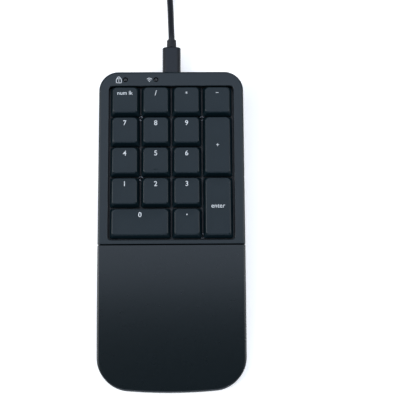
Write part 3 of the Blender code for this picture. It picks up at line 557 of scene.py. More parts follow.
# %% The lead
lead_curve = bpy.data.curves.new("charging_lead", "CURVE")
lead_curve.dimensions = "3D"
lead_curve.bevel_depth = CABLE_DIAMETER / 2
lead_curve.bevel_resolution = 6
lead_curve.use_fill_caps = True
lead_spline = lead_curve.splines.new("POLY")
lead_spline.points.add(len(route) - 1)
for target, point in zip(lead_spline.points, route):
    target.co = (*point, 1.0)
lead_spline.use_smooth = True
lead = bpy.data.objects.new("charging_lead", lead_curve)
bpy.context.scene.collection.objects.link(lead)
coat(lead, cable_jacket.material)
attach(lead, "case")
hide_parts("cable", "cable_coil", "cable_tail")

# %% [markdown]
# ## Plug, strain relief and cable tie
# The plug's grip is an overmoulded block with soft edges. Its strain relief is a short taper of
# ribs, made by pushing out an end face in small steps and narrowing every other step, which
# is how a ribbed sleeve is easiest to grow. The tie is a strap round the bundle of turns.


# %% Grown pieces along y
def grow(name, radius, start, steps, vertices=32):
    """A round piece along +y: its end face is pushed out and scaled, step by step."""
    deselect()
    bpy.ops.mesh.primitive_circle_add(vertices=vertices, radius=radius, fill_type="NGON",
                                      location=(0.0, start, 0.0), rotation=(-math.pi / 2, 0.0, 0.0))
    made = bpy.context.object
    made.name = made.data.name = name
    apply_place(made)
    edit(made, "FACE")
    bpy.ops.mesh.select_all(action="SELECT")
    place = start
    for ahead, ratio in steps:
        extrude((0.0, ahead, 0.0))
        place += ahead
        bpy.ops.transform.resize(value=(ratio, 1.0, ratio), center_override=(0.0, place, 0.0))
    face_outwards()
    done()
    return made


RELIEF_RADIUS = 3.05 * MM
RIBS, RIB_WIDTH, RIB_GAP = 4, 0.75 * MM, 0.42 * MM
RIB_DROP, RIB_RISE = 0.92, 1.075
RIB_EDGE = 0.07 * MM
STEP_AHEAD = 0.0001 * MM
relief_steps = [(GRIP_START, 1.02)]
for _ in range(RIBS):
    relief_steps += [(RIB_WIDTH, 1.0), (STEP_AHEAD, RIB_DROP), (RIB_GAP, 1.0), (STEP_AHEAD, RIB_RISE)]
relief_start = 2 * GRIP_START + GRIP_LENGTH
relief = grow("strain_relief_ribbed", RELIEF_RADIUS, relief_start, relief_steps)
edit(relief, "EDGE")
pick(relief, "EDGE", lambda e: abs(e.verts[0].co.y - e.verts[1].co.y) < NEAR)
bpy.ops.mesh.bevel(offset=RIB_EDGE, segments=2)
done()
TO_PLUG = TO_DECK @ Matrix.Translation((0.0, DECK_REAR - KEYS_Y, SOCKET_DEPTH))
relief.data.transform(TO_PLUG)
smooth(relief, 40.0)
coat(relief, cable_jacket.material)
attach(relief, "case")
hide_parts("strain_relief")
print("strain relief", len(relief.data.polygons), "faces")


# %% Plug grips
def bar_along_y(name, width, height, start, end, edge, segments=6):
    """A bar along y with rounded long edges and softly rounded ends."""
    deselect()
    bpy.ops.mesh.primitive_cube_add(size=1.0, location=(0.0, (start + end) / 2, 0.0))
    made = bpy.context.object
    made.name = made.data.name = name
    made.scale = (width, end - start, height)
    apply_place(made)
    edit(made, "EDGE")
    pick(made, "EDGE", lambda e: abs(e.verts[0].co.y - e.verts[1].co.y) > (end - start) / 2)
    bpy.ops.mesh.bevel(offset=edge, segments=segments, clamp_overlap=False)
    done()
    return made


def soften_ends(obj, start, end, offset, segments=3):
    edit(obj, "EDGE")
    pick(obj, "EDGE", lambda e: all(abs(v.co.y - start) < NEAR for v in e.verts)
         or all(abs(v.co.y - end) < NEAR for v in e.verts))
    bpy.ops.mesh.bevel(offset=offset, segments=segments, clamp_overlap=False)
    done()


GRIP_SIZE = (11.65 * MM, 6.4 * MM)
GRIP_CORNER, GRIP_END_EDGE = 3.05 * MM, 0.45 * MM
GROOVES, FIRST_GROOVE, GROOVE_PITCH = 5, 5.0 * MM, 1.5 * MM
GROOVE_RADIUS, GROOVE_OUT, GROOVE_REACH = 0.45 * MM, 0.22 * MM, 2.2 * MM
grip_end = GRIP_START + GRIP_LENGTH
grip = bar_along_y("plug_grip_body", *GRIP_SIZE, GRIP_START, grip_end, GRIP_CORNER, 10)
soften_ends(grip, GRIP_START, grip_end, GRIP_END_EDGE, 4)
for row in range(GROOVES):
    groove_y = GRIP_START + FIRST_GROOVE + GROOVE_PITCH * row
    for side in (-1, 1):
        groove = cylinder("groove", (side * (GRIP_SIZE[0] / 2 + GROOVE_OUT), groove_y),
                          GROOVE_RADIUS, -GROOVE_REACH, GROOVE_REACH, 16)
        boolean(grip, groove)
grip.data.transform(TO_PLUG)
smooth(grip, 40.0)
coat(grip, grip_plastic.material)
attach(grip, "case")
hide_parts("usb_c_plug_grip")

FAR_GRIP = (16.0 * MM, 8.2 * MM, 26.0 * MM)
FAR_CORNER, FAR_CORD_EDGE, FAR_PLUG_EDGE = 2.4 * MM, 0.6 * MM, 0.4 * MM
PANEL_BORDER, PANEL_STEP, PANEL_DEPTH = 1.6 * MM, 0.25 * MM, 0.35 * MM
TO_FAR_PLUG = Matrix.Translation(Vector((-59.4, 218.4, 4.6)) * MM) @ Matrix.Rotation(math.pi / 2, 4, "Z")
far_grip = bar_along_y("far_plug_grip", *FAR_GRIP[:2], 0.0, FAR_GRIP[2], FAR_CORNER, 8)
edit(far_grip, "EDGE")
pick(far_grip, "EDGE", lambda e: all(abs(v.co.y) < NEAR for v in e.verts))
bpy.ops.mesh.bevel(offset=FAR_CORD_EDGE, segments=4, clamp_overlap=False)
pick(far_grip, "EDGE", lambda e: all(abs(v.co.y - FAR_GRIP[2]) < NEAR for v in e.verts))
bpy.ops.mesh.bevel(offset=FAR_PLUG_EDGE, segments=3, clamp_overlap=False)
pick(far_grip, "FACE", lambda f: abs(f.normal.z) > 0.9999)
bpy.ops.mesh.inset(thickness=PANEL_BORDER, depth=0.0)
bpy.ops.mesh.inset(thickness=PANEL_STEP, depth=-PANEL_DEPTH)
done()
far_grip.data.transform(TO_FAR_PLUG)
smooth(far_grip, 35.0)
coat(far_grip, grip_plastic.material)
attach(far_grip, "case")
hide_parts("usb_a_plug_grip")
print("grips", len(grip.data.polygons), len(far_grip.data.polygons), "faces")

# %% Cable tie
TIE_WIDTH, TIE_WALL, TIE_CORNER = 7.0 * MM, 0.7 * MM, 2.4 * MM
TAB_WIDTH, TAB_EDGE = 5.0 * MM, 0.4 * MM
COIL_RADIUS = 22.0 * MM
TIE_TURN = math.radians(215.0)
bundle = (12.3 * MM, 12.2 * MM)
strap_top = bundle[1] / 2 + TIE_WALL
tie = block("cable_tie", bundle[0] + 2 * TIE_WALL, -strap_top, strap_top,
            -TIE_WIDTH / 2, TIE_WIDTH / 2, TIE_CORNER, TIE_CORNER, 6)
inner_corner = 1.8 * MM
inside = block("tie_inside", bundle[0], -bundle[1] / 2, bundle[1] / 2,
               -TIE_WIDTH, TIE_WIDTH, inner_corner, inner_corner, 6)
boolean(tie, inside)
tab = block("tie_tab", TAB_WIDTH, strap_top - TIE_WALL / 2, strap_top + 1.4 * TIE_WALL,
            -TIE_WIDTH / 2 - TAB_EDGE, TIE_WIDTH / 2 + TAB_EDGE, TAB_EDGE, TAB_EDGE, 3)
boolean(tie, tab, "UNION")
bundle_middle = COIL_CENTRE + Vector((COIL_RADIUS * math.cos(TIE_TURN),
                                      COIL_RADIUS * math.sin(TIE_TURN), COIL_FLOOR + COIL_LAYER))
tie.data.transform(Matrix.Translation(bundle_middle) @ Matrix.Rotation(TIE_TURN, 4, "Z")
                   @ Matrix.Rotation(math.pi / 2, 4, "X"))
smooth(tie, 40.0)
coat(tie, foot_rubber.material)
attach(tie, "case")

print("tie", len(tie.data.polygons), "faces; lead declared")

# %% [markdown]
# ## The covers
# Both covers are thin mouldings: an upright wall, a rounded top edge and a roof. Each starts as
# a tall block with round corners. The deck's block is cut by a tilted plane with bisect, which
# also closes the cut. The palm support falls in a long curve. Its rim is bevelled while the top
# is level, then bisect cuts it into rows across, and each row is let down by its own amount, so
# the rim keeps its round edge all along. The hollow is made the same way and cut out from below.

# %% Upper case: outside
WIDTH = 2 * HALF_WIDTH
TALL = 30.0 * MM
SEAM_BREAK = 0.25 * MM
REAR_RADIUS, FRONT_RADIUS = 12.0 * MM, 18.0 * MM
deck_slope = Vector((0.0, -math.sin(DECK_TILT), math.cos(DECK_TILT)))


def cut_by_deck(obj, depth):
    """Remove what stands above the plane that lies depth below the bezel, and close the cut."""
    edit(obj)
    bpy.ops.mesh.select_all(action="SELECT")
    point = TO_DECK @ Vector((0.0, 0.0, depth))
    bpy.ops.mesh.bisect(plane_co=point, plane_no=deck_slope, use_fill=True, clear_outer=True)
    done()


def on_deck(vert, depth=0.0):
    return abs((vert.co - TO_DECK.translation).dot(deck_slope) - depth) < 2e-6


upper = block("upper_case_shell", WIDTH, DECK_FRONT, DECK_REAR, COVER_BOTTOM, TALL, 0.0,
              REAR_RADIUS, 20)
cut_by_deck(upper, 0.0)
edit(upper, "EDGE")
pick(upper, "EDGE", lambda e: all(on_deck(v) for v in e.verts)
     and middle(e).y > DECK_FRONT + NEAR)
bpy.ops.mesh.bevel(offset=EDGE_FILLET, segments=8, clamp_overlap=False)
pick(upper, "EDGE", lambda e: all(abs(v.co.y - DECK_FRONT) < NEAR for v in e.verts)
     and middle(e).z > COVER_BOTTOM + NEAR)
bpy.ops.mesh.bevel(offset=SEAM_BREAK, segments=3, clamp_overlap=False)
done()
print("upper case outside", len(upper.data.polygons), "faces")

# %% Upper case: hollow, opening, lamp holes and socket hole
BELOW = -5.0 * MM
OPENING_RADIUS, OPENING_EDGE = 2.0 * MM, 0.45 * MM
hollow = block("hollow", WIDTH - 2 * CASE_WALL, DECK_FRONT + SEAM_WALL, DECK_REAR - CASE_WALL,
               BELOW, TALL, 0.0, REAR_RADIUS - CASE_WALL, 12)
cut_by_deck(hollow, -ROOF)
boolean(upper, hollow)

opening = block("opening", OPENING[0], -OPENING[1] / 2, OPENING[1] / 2, -2 * ROOF, 2 * ROOF,
                OPENING_RADIUS, OPENING_RADIUS, 8)
opening.data.transform(TO_DECK)
boolean(upper, opening)
edit(upper, "EDGE")
pick(upper, "EDGE", lambda e: all(on_deck(v) for v in e.verts)
     and abs(middle(e).x) < OPENING[0] / 2 + 0.01 * MM
     and abs(middle(e).y - KEYS_Y) < OPENING[1] / 2 + 0.2 * MM)
bpy.ops.mesh.bevel(offset=OPENING_EDGE, segments=4, clamp_overlap=False)
done()

LAMP_FROM_REAR = 5.2 * MM
LAMP_RADIUS, LAMP_GAP = 1.1 * MM, 0.45 * MM
SOCKET_HOLE = (9.9 * MM, 4.1 * MM)
LAMP_PLACES = [(column * PITCH, DECK_REAR - KEYS_Y - LAMP_FROM_REAR) for column in (-1.5, -0.5)]
for place in LAMP_PLACES:
    hole = cylinder("lamp_hole", place, LAMP_RADIUS + LAMP_GAP, -2 * ROOF, 2 * ROOF, 32)
    hole.data.transform(TO_DECK)
    boolean(upper, hole)
socket_hole = bar_along_y("socket_hole", *SOCKET_HOLE, -2 * CASE_WALL, 2 * CASE_WALL, 2.0 * MM, 8)
socket_hole.data.transform(TO_PLUG)
boolean(upper, socket_hole)
smooth(upper, 32.0)
coat(upper, case_plastic.material)
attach(upper, "case")
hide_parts("upper_case")
print("upper case", len(upper.data.polygons), "faces")


# %% Palm support: outside
FRONT_BOW = 3.3 * MM
FRONT_CUTS = 15
PALM_LENGTH = PALM_REAR - PALM_FRONT
PALM_FRONT_HEIGHT = 5.3 * MM
PALM_CURVE = (SEAM_HEIGHT - PALM_FRONT_HEIGHT
              - PALM_LENGTH * math.tan(DECK_TILT)) / PALM_LENGTH ** 2
PALM_ROWS = 30


def palm_height(y):
    away = PALM_REAR - y
    return SEAM_HEIGHT - away * math.tan(DECK_TILT) - PALM_CURVE * away * away


def bow_front(obj, width, front, radius):
    """Divide the front edge and draw it back towards its ends, so that it bows outwards."""
    edit(obj, "EDGE")
    pick(obj, "EDGE", lambda e: all(abs(v.co.y - front) < NEAR for v in e.verts))
    bpy.ops.mesh.subdivide(number_cuts=FRONT_CUTS)
    done()
    ends = {round(abs(v.co.x), 7): v.co.y for v in obj.data.vertices
            if v.co.y < front + radius + NEAR}
    edit(obj)
    for x, y in ends.items():
        pick(obj, "VERT", lambda v: abs(abs(v.co.x) - x) < 2e-7
             and v.co.y < front + radius + FRONT_BOW)
        back = FRONT_BOW * (2 * x / width) ** 2 * (1 - (y - front) / PALM_LENGTH)
        bpy.ops.transform.translate(value=(0.0, back, 0.0))
    done()


def palm_block(name, width, front, rear, low, radius, segments=20):
    """A block with the palm support's outline, as high as its seam all over."""
    made = rounded_plane(name, width, front, rear, low, radius, 0.0, segments)
    bow_front(made, width, front, radius)
    edit(made)
    bpy.ops.mesh.select_all(action="SELECT")
    extrude((0.0, 0.0, SEAM_HEIGHT - low))
    face_outwards()
    done()
    return made


def let_down(obj, depth):
    """Cut a level block into rows and let each row of its top down onto the curve."""
    edit(obj)
    for row in range(1, PALM_ROWS):
        bpy.ops.mesh.select_all(action="SELECT")
        bpy.ops.mesh.bisect(plane_co=(0.0, PALM_FRONT + PALM_LENGTH * row / PALM_ROWS, 0.0),
                            plane_no=(0.0, 1.0, 0.0))
    done()
    rows = {}
    for vert in obj.data.vertices:
        if vert.co.z > SEAM_HEIGHT - EDGE_FILLET - NEAR:
            rows.setdefault(round(vert.co.y, 6), []).append(vert.index)
    edit(obj)
    for y, members in rows.items():
        bpy.ops.mesh.select_all(action="DESELECT")
        mesh = bmesh.from_edit_mesh(obj.data)
        mesh.verts.ensure_lookup_table()
        for index in members:
            mesh.verts[index].select_set(True)
        bpy.ops.transform.translate(value=(0.0, 0.0, palm_height(y) - SEAM_HEIGHT - depth))
    done()
    return len(rows)


palm = palm_block("palm_support_shell", WIDTH, PALM_FRONT, PALM_REAR, COVER_BOTTOM, FRONT_RADIUS)
edit(palm, "EDGE")
roof_edges = pick(palm, "EDGE", lambda e: all(v.co.z > SEAM_HEIGHT - NEAR for v in e.verts)
                  and middle(e).y < PALM_REAR - NEAR)
bpy.ops.mesh.bevel(offset=EDGE_FILLET, segments=8, clamp_overlap=False)
pick(palm, "EDGE", lambda e: all(abs(v.co.y - PALM_REAR) < NEAR for v in e.verts)
     and middle(e).z > COVER_BOTTOM + NEAR)
bpy.ops.mesh.bevel(offset=SEAM_BREAK, segments=3, clamp_overlap=False)
done()
palm_rows = let_down(palm, 0.0)
print("palm support", roof_edges, "rim edges,", palm_rows, "rows let down")

# %% Palm support: hollow
palm_hollow = palm_block("palm_hollow", WIDTH - 2 * CASE_WALL, PALM_FRONT + CASE_WALL,
                         PALM_REAR - SEAM_WALL, BELOW, FRONT_RADIUS - CASE_WALL, 10)
let_down(palm_hollow, ROOF)
boolean(palm, palm_hollow)
smooth(palm, 32.0)
coat(palm, palm_plastic.material)
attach(palm, "case")
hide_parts("palm_cover")
print("palm support", len(palm.data.polygons), "faces")

# %% [markdown]
# ## Lower case
# The base is a flat tray under both covers. Its outline is the same as theirs, with the rounded
# front of one and the rounded rear of the other. The lower edge is bevelled, and the screws,
# the feet, the switch and the button get their recesses from simple cutters.

# %% Lower case
BASE_TOP = COVER_BOTTOM - 0.3 * MM
BASE_EDGE, BASE_RIM = 0.9 * MM, 0.12 * MM
SCREW_INSET, SCREW_FROM_END = 2.6 * MM, 18.0 * MM
PALM_SCREWS = ((34.0 * MM, 12.0 * MM), (26.0 * MM, 68.0 * MM))
HEAD_RECESS, HEAD_DEPTH, SCREW_HOLE = 2.05 * MM, 0.8 * MM, 1.15 * MM
FOOT_RECESS, FOOT_TOP = 4.8 * MM, 1.8 * MM
KNOB_SLOT, KNOB_SLOT_CORNER, KNOB_TRAVEL = (7.0 * MM, 4.0 * MM), 0.3 * MM, 3.0 * MM
BUTTON_HOLE = 2.3 * MM
base = rounded_plane("base_tray", WIDTH, PALM_FRONT, DECK_REAR, BASE_BOTTOM, FRONT_RADIUS,
                     REAR_RADIUS, 20)
bow_front(base, WIDTH, PALM_FRONT, FRONT_RADIUS)
edit(base)
bpy.ops.mesh.select_all(action="SELECT")
extrude((0.0, 0.0, BASE_TOP - BASE_BOTTOM))
face_outwards()
pick(base, "EDGE", lambda e: all(abs(v.co.z - BASE_BOTTOM) < NEAR for v in e.verts))
bpy.ops.mesh.bevel(offset=BASE_EDGE, segments=5, clamp_overlap=False)
pick(base, "EDGE", lambda e: all(abs(v.co.z - BASE_TOP) < NEAR for v in e.verts))
bpy.ops.mesh.bevel(offset=BASE_RIM, segments=2, clamp_overlap=False)
done()

side = HALF_WIDTH - CASE_WALL - SCREW_INSET
CASE_SCREWS = [(x, y) for x in (-side, side)
               for y in (DECK_FRONT + SCREW_FROM_END, DECK_REAR - SCREW_FROM_END)]
CASE_SCREWS += [(sign * x, PALM_REAR - away) for sign in (-1, 1) for x, away in PALM_SCREWS]
FEET = [f"foot_{end}_{hand}" for end in ("front", "rear") for hand in ("left", "right")]


def centre_of(node):
    low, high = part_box(node)
    return (Vector(low) + Vector(high)) / 2


for x, y in CASE_SCREWS:
    boolean(base, cylinder("screw_recess", (x, y), HEAD_RECESS, 0.0, BASE_BOTTOM + HEAD_DEPTH, 32))
    boolean(base, cylinder("screw_hole", (x, y), SCREW_HOLE, 0.0, 2 * BASE_TOP, 24))
for foot in FEET:
    boolean(base, cylinder("foot_recess", centre_of(foot)[:2], FOOT_RECESS, 0.0, FOOT_TOP, 48))
knob = centre_of("power_switch")
knob_slot = block("knob_slot", KNOB_SLOT[0], -KNOB_SLOT[1] / 2, KNOB_SLOT[1] / 2, 0.0, 2 * BASE_TOP,
                  KNOB_SLOT_CORNER, KNOB_SLOT_CORNER, 4)
knob_slot.data.transform(Matrix.Translation((knob.x + KNOB_TRAVEL / 2, knob.y, 0.0)))
boolean(base, knob_slot)
button = centre_of("pairing_button")
boolean(base, cylinder("button_hole", button[:2], BUTTON_HOLE, 0.0, 2 * BASE_TOP, 32))
smooth(base, 32.0)
coat(base, case_plastic.material)
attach(base, "case")
print("base tray", len(base.data.polygons), "faces")

# %% Posts of the lower case, which the plate is screwed to
PLATE_SCREWS = [(column * PITCH, row * PITCH) for column, row in
                ((-1.0, 1.5), (1.0, 1.5), (-1.0, -0.5), (1.0, -2.39))]
BOARD_BOTTOM = PLATE_DEPTH - 3.8 * MM
POST_RADIUS, POST_GAP, POST_EDGE = 2.5 * MM, 0.6 * MM, 0.3 * MM
PILOT_RADIUS, PILOT_DEPTH = 0.8 * MM, 3.0 * MM
posts = []
for x, y in PLATE_SCREWS:
    top = deck_height(KEYS_Y + y) + BOARD_BOTTOM / math.cos(DECK_TILT) - POST_GAP
    post = cylinder("post", (x, KEYS_Y + y), POST_RADIUS, BASE_TOP, top, 32)
    edit(post, "EDGE")
    pick(post, "EDGE", lambda e: all(v.co.z > top - NEAR for v in e.verts))
    bpy.ops.mesh.bevel(offset=POST_EDGE, segments=3)
    done()
    boolean(post, cylinder("pilot", (x, KEYS_Y + y), PILOT_RADIUS, top - PILOT_DEPTH, top + MM, 16))
    posts.append(post)
base_posts = join("base_posts", *posts)
smooth(base_posts, 32.0)
coat(base_posts, case_plastic.material)
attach(base_posts, "case")
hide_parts("lower_case")
print("posts", len(base_posts.data.polygons), "faces")

# %% Screws, modelled once for each kind and copied
def cross_recess(size, low, high):
    """A cutter in the shape of a cross, for a screw's drive."""
    one = block("cross_a", size, -size / 6, size / 6, low, high)
    other = block("cross_b", size / 3, -size / 2, size / 2, low, high)
    boolean(one, other, "UNION")
    return one


def machine_screw(name, head_radius, head_height, shank_radius, shank_length, countersunk):
    """A screw with its head's top at z = 0 and its shank downwards."""
    screw = cylinder(name, (0.0, 0.0), head_radius, -head_height, 0.0, 32)
    edit(screw, "FACE")
    pick(screw, "FACE", lambda f: f.normal.z < -0.9)
    if countersunk:
        bpy.ops.transform.resize(value=(shank_radius / head_radius,) * 2 + (1.0,),
                                 center_override=(0.0, 0.0, -head_height))
    else:
        bpy.ops.mesh.inset(thickness=head_radius - shank_radius, depth=0.0)
    extrude((0.0, 0.0, -shank_length))
    bpy.ops.transform.resize(value=(0.75, 0.75, 1.0), center_override=(0.0, 0.0, 0.0))
    pick(screw, "EDGE", lambda e: all(v.co.z > -1e-7 for v in e.verts))
    bpy.ops.mesh.bevel(offset=0.3 * MM, segments=3)
    done()
    boolean(screw, cross_recess(1.4 * head_radius, -0.8 * head_height, MM))
    smooth(screw, 35.0)
    coat(screw, screw_steel.material, recess_painted_shade.material)
    # The faces inside the cross recess take the second material, painted shade that darkens the drive's
    # hollow.
    edit(screw, "FACE")
    pick(screw, "FACE", lambda f: -0.9 * head_height < f.calc_center_median().z < -0.2 * head_height
         and f.calc_center_median().xy.length < 0.75 * head_radius)
    screw.active_material_index = 1
    bpy.ops.object.material_slot_assign()
    done()
    return screw


CASE_HEAD_SUNK, DRIVE_TURN, PLATE_HEAD_STAND = 0.2 * MM, 0.7, 0.1 * MM
case_screw = machine_screw("case_screw", head_radius=1.7 * MM, head_height=0.55 * MM,
                           shank_radius=0.95 * MM, shank_length=3.4 * MM, countersunk=False)
for i, (x, y) in enumerate(CASE_SCREWS):
    flipped = Matrix.Translation((x, y, BASE_BOTTOM + CASE_HEAD_SUNK)) @ Matrix.Rotation(math.pi, 4, "X")
    turned = flipped @ Matrix.Rotation(DRIVE_TURN * i, 4, "Z")
    copy = duplicate(case_screw, f"case_screw_{i + 1}", turned)
    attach(copy, "case")
bpy.data.objects.remove(case_screw, do_unlink=True)

plate_screw = machine_screw("plate_screw", head_radius=1.75 * MM, head_height=0.9 * MM,
                            shank_radius=0.8 * MM, shank_length=4.6 * MM, countersunk=True)
for i, (x, y) in enumerate(PLATE_SCREWS):
    copy = duplicate(plate_screw, f"plate_screw_{i + 1}",
                     TO_DECK @ Matrix.Translation((x, y, PLATE_DEPTH + PLATE_HEAD_STAND)))
    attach(copy, "case")
bpy.data.objects.remove(plate_screw, do_unlink=True)
print(len(CASE_SCREWS) + len(PLATE_SCREWS), "screws")

# %% Rubber feet
FOOT_RADIUS, FOOT_HEIGHT, FOOT_EDGE = 4.5 * MM, 1.5 * MM, 0.4 * MM
FOOT_BORDER, FOOT_STEP, FOOT_DISH = 0.9 * MM, 0.25 * MM, 0.2 * MM
foot_model = cylinder("foot_model", (0.0, 0.0), FOOT_RADIUS, 0.0, FOOT_HEIGHT, 48)
edit(foot_model, "EDGE")
pick(foot_model, "EDGE", lambda e: all(v.co.z < 1e-7 for v in e.verts))
bpy.ops.mesh.bevel(offset=FOOT_EDGE, segments=4)
pick(foot_model, "FACE", lambda f: f.normal.z < -0.99)
bpy.ops.mesh.inset(thickness=FOOT_BORDER, depth=0.0)
bpy.ops.mesh.inset(thickness=FOOT_STEP, depth=-FOOT_DISH)
done()
smooth(foot_model, 35.0)
for foot in FEET:
    x, y, _ = centre_of(foot)
    copy = duplicate(foot_model, foot + "_pad", Matrix.Translation((x, y, 0.0)))
    coat(copy, foot_rubber.material)
    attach(copy, "case")
    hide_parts(foot)
bpy.data.objects.remove(foot_model, do_unlink=True)
print(len(FEET), "feet")

# %% [markdown]
# ## Keycaps
# A keycap is a thin shell with a square skirt, a narrower top with rounder corners, and a
# shallow dish for the fingertip. Two flat outlines with the same number of corner points are
# bridged, so each corner turns smoothly from the tight radius below to the wide one above. The
# dish is the top face pushed down in steps, each a little smaller and a little flatter.

# %% Outlines bridged into a tapered block
SIDE_RUN, FRONT_RUN, REAR_RUN = 1.55 * MM, 1.85 * MM, 0.4 * MM
CAP_BASE = CAP_RISE - CAP_HEIGHT
CAP_ROOF = 1.2 * MM
CAP_CEILING = CAP_RISE - CAP_ROOF
CAP_WALL, SKIRT_OVERRUN = 1.15 * MM, 0.02 * MM
SKIRT_RADIUS, TOP_RADII = 0.9 * MM, (2.0 * MM, 2.4 * MM)
HOLLOW_RADII = (0.4 * MM, 1.1 * MM)
SLIDER, SLIDER_EDGE, SLIDER_BOTTOM = 5.4 * MM, 0.5 * MM, -3.9 * MM
LEG, LEG_BOTTOM, LEG_SPAN, LEG_OFFSET = 3.0 * MM, -2.4 * MM, 11.94 * MM, 2.0 * MM
ROOT = 0.4 * MM
CORNER_STEPS = 8


def cap_outline(name, size, z, runs, radii):
    """The cap's outline at one height; runs are how far its sides, front and rear come in."""
    side, front, rear = runs
    return rounded_plane(name, size[0] - 2 * side, -size[1] / 2 + front, size[1] / 2 - rear, z,
                         *radii, CORNER_STEPS)


def tapered_block(name, low_plane, high_plane):
    """Bridge two outlines and close both ends."""
    made = join(name, low_plane, high_plane)
    levels = sorted({round(v.co.z, 7) for v in made.data.vertices})
    edit(made, "EDGE")
    bpy.ops.mesh.select_all(action="SELECT")
    bpy.ops.mesh.delete(type="ONLY_FACE")
    bpy.ops.mesh.select_all(action="SELECT")
    bpy.ops.mesh.bridge_edge_loops()
    for level in (levels[0], levels[-1]):
        pick(made, "EDGE", lambda e: all(abs(v.co.z - level) < NEAR for v in e.verts))
        bpy.ops.mesh.edge_face_add()
    face_outwards()
    done()
    return made


# %% Dish, hollow, slider and legs of a keycap
RIM = 0.5 * MM
DISH = 0.25 * MM
DISH_STEPS = (0.06, 0.14, 0.24, 0.36, 0.50, 0.66, 0.84)


def dish_top(cap, size):
    """Push the top face down in shrinking steps, so that it falls in a smooth bowl."""
    middle_y = (FRONT_RUN - REAR_RUN) / 2
    half = (size[0] / 2 - SIDE_RUN - RIM, (size[1] - FRONT_RUN - REAR_RUN) / 2 - RIM)
    reach = min(half)
    edit(cap, "FACE")
    pick(cap, "FACE", lambda f: f.normal.z > 0.99 and f.calc_center_median().z > CAP_RISE - NEAR)
    before, sunk = (1.0, 1.0), 0.0
    for part in DISH_STEPS:
        scale = tuple(1 - part * reach / side for side in half)
        depth = DISH * (1 - (1 - part) ** 2)
        extrude((0.0, 0.0, sunk - depth))
        bpy.ops.transform.resize(value=(scale[0] / before[0], scale[1] / before[1], 1.0),
                                 center_override=(0.0, middle_y, 0.0))
        before, sunk = scale, depth
    done()


def keycap_model(name, columns, rows):
    size = (columns * PITCH - CAP_GAP, rows * PITCH - CAP_GAP)
    runs = (SIDE_RUN, FRONT_RUN, REAR_RUN)
    cap = tapered_block(name, cap_outline("skirt", size, CAP_BASE, (0.0,) * 3, (SKIRT_RADIUS,) * 2),
                        cap_outline("top", size, CAP_RISE, runs, TOP_RADII))
    edit(cap, "EDGE")
    pick(cap, "EDGE", lambda e: all(v.co.z > CAP_RISE - NEAR for v in e.verts))
    bpy.ops.mesh.bevel(offset=RIM, segments=5, clamp_overlap=False)
    done()
    dish_top(cap, size)
    inner = tuple(run + CAP_ROOF for run in runs)
    below = cap_outline("hollow_skirt", size, CAP_BASE - SKIRT_OVERRUN, (CAP_WALL,) * 3,
                        HOLLOW_RADII[:1] * 2)
    above = cap_outline("hollow_top", size, CAP_CEILING, inner, HOLLOW_RADII[1:] * 2)
    boolean(cap, tapered_block("cap_hollow", below, above))
    boolean(cap, block("slider", SLIDER, -SLIDER / 2, SLIDER / 2, SLIDER_BOTTOM, CAP_CEILING + ROOT,
                       SLIDER_EDGE, SLIDER_EDGE, 3), "UNION")
    for side in (-1, 1) if columns * rows > 1 else ():
        leg = block("leg", LEG, -LEG / 2, LEG / 2, LEG_BOTTOM, CAP_CEILING + ROOT)
        place = (side * LEG_SPAN, LEG_OFFSET) if columns > rows else (LEG_OFFSET, side * LEG_SPAN)
        leg.data.transform(Matrix.Translation((*place, 0.0)))
        boolean(cap, leg, "UNION")
    smooth(cap, 30.0)
    coat(cap, key_plastic.material)
    print(name, len(cap.data.polygons), "faces")
    return cap


cap_models = {size: keycap_model(f"cap_model_{size[0]}_{size[1]}", *size)
              for size in ((1, 1), (2, 1), (1, 2))}

# %% [markdown]
# ## Legends
# The legends are pad-printed, so they follow the dish. Each is a text object turned into a
# mesh, projected straight down onto the cap and given the thickness of a coat of ink.

# %% One legend
INK_STAND, INK_COAT = 0.012 * MM, 0.03 * MM


def flat_text(name, text, height, width=None, weight=0.0):
    """Text as a flat mesh, centred on the origin, with this height or this width."""
    deselect()
    bpy.ops.object.text_add(location=(0.0, 0.0, 0.0))
    words = bpy.context.object
    words.data.body = text
    words.data.offset = weight
    words.data.resolution_u = 6
    bpy.ops.object.convert(target="MESH")
    words = bpy.context.object
    words.name = words.data.name = name
    xs = [v.co.x for v in words.data.vertices]
    ys = [v.co.y for v in words.data.vertices]
    scale = width / (max(xs) - min(xs)) if width else height / (max(ys) - min(ys))
    middle_of = Matrix.Translation((-(min(xs) + max(xs)) / 2, -(min(ys) + max(ys)) / 2, 0.0))
    words.data.transform(Matrix.Scale(scale, 4) @ middle_of)
    edit(words)
    bpy.ops.mesh.select_all(action="SELECT")
    bpy.ops.mesh.remove_doubles(threshold=1e-7)
    done()
    return words


def ink_onto(flat, surface):
    """Lay a flat shape onto the surface below it, as a thin closed coat of ink."""
    flat.data.transform(Matrix.Translation((0.0, 0.0, 10.0 * MM)))
    wrap = flat.modifiers.new("print", "SHRINKWRAP")
    wrap.wrap_method = "PROJECT"
    wrap.use_project_z = True
    wrap.use_negative_direction = True
    wrap.use_positive_direction = False
    wrap.target = surface
    wrap.offset = INK_STAND
    coat_of_ink = flat.modifiers.new("coat", "SOLIDIFY")
    coat_of_ink.thickness = INK_COAT
    coat_of_ink.offset = -1.0
    apply_modifiers(flat)
    coat(flat, legend_ink.material)
    return flat


# %% Keys
LEGEND_FROM_REAR = 3.5 * MM
DIGIT = 3.1 * MM
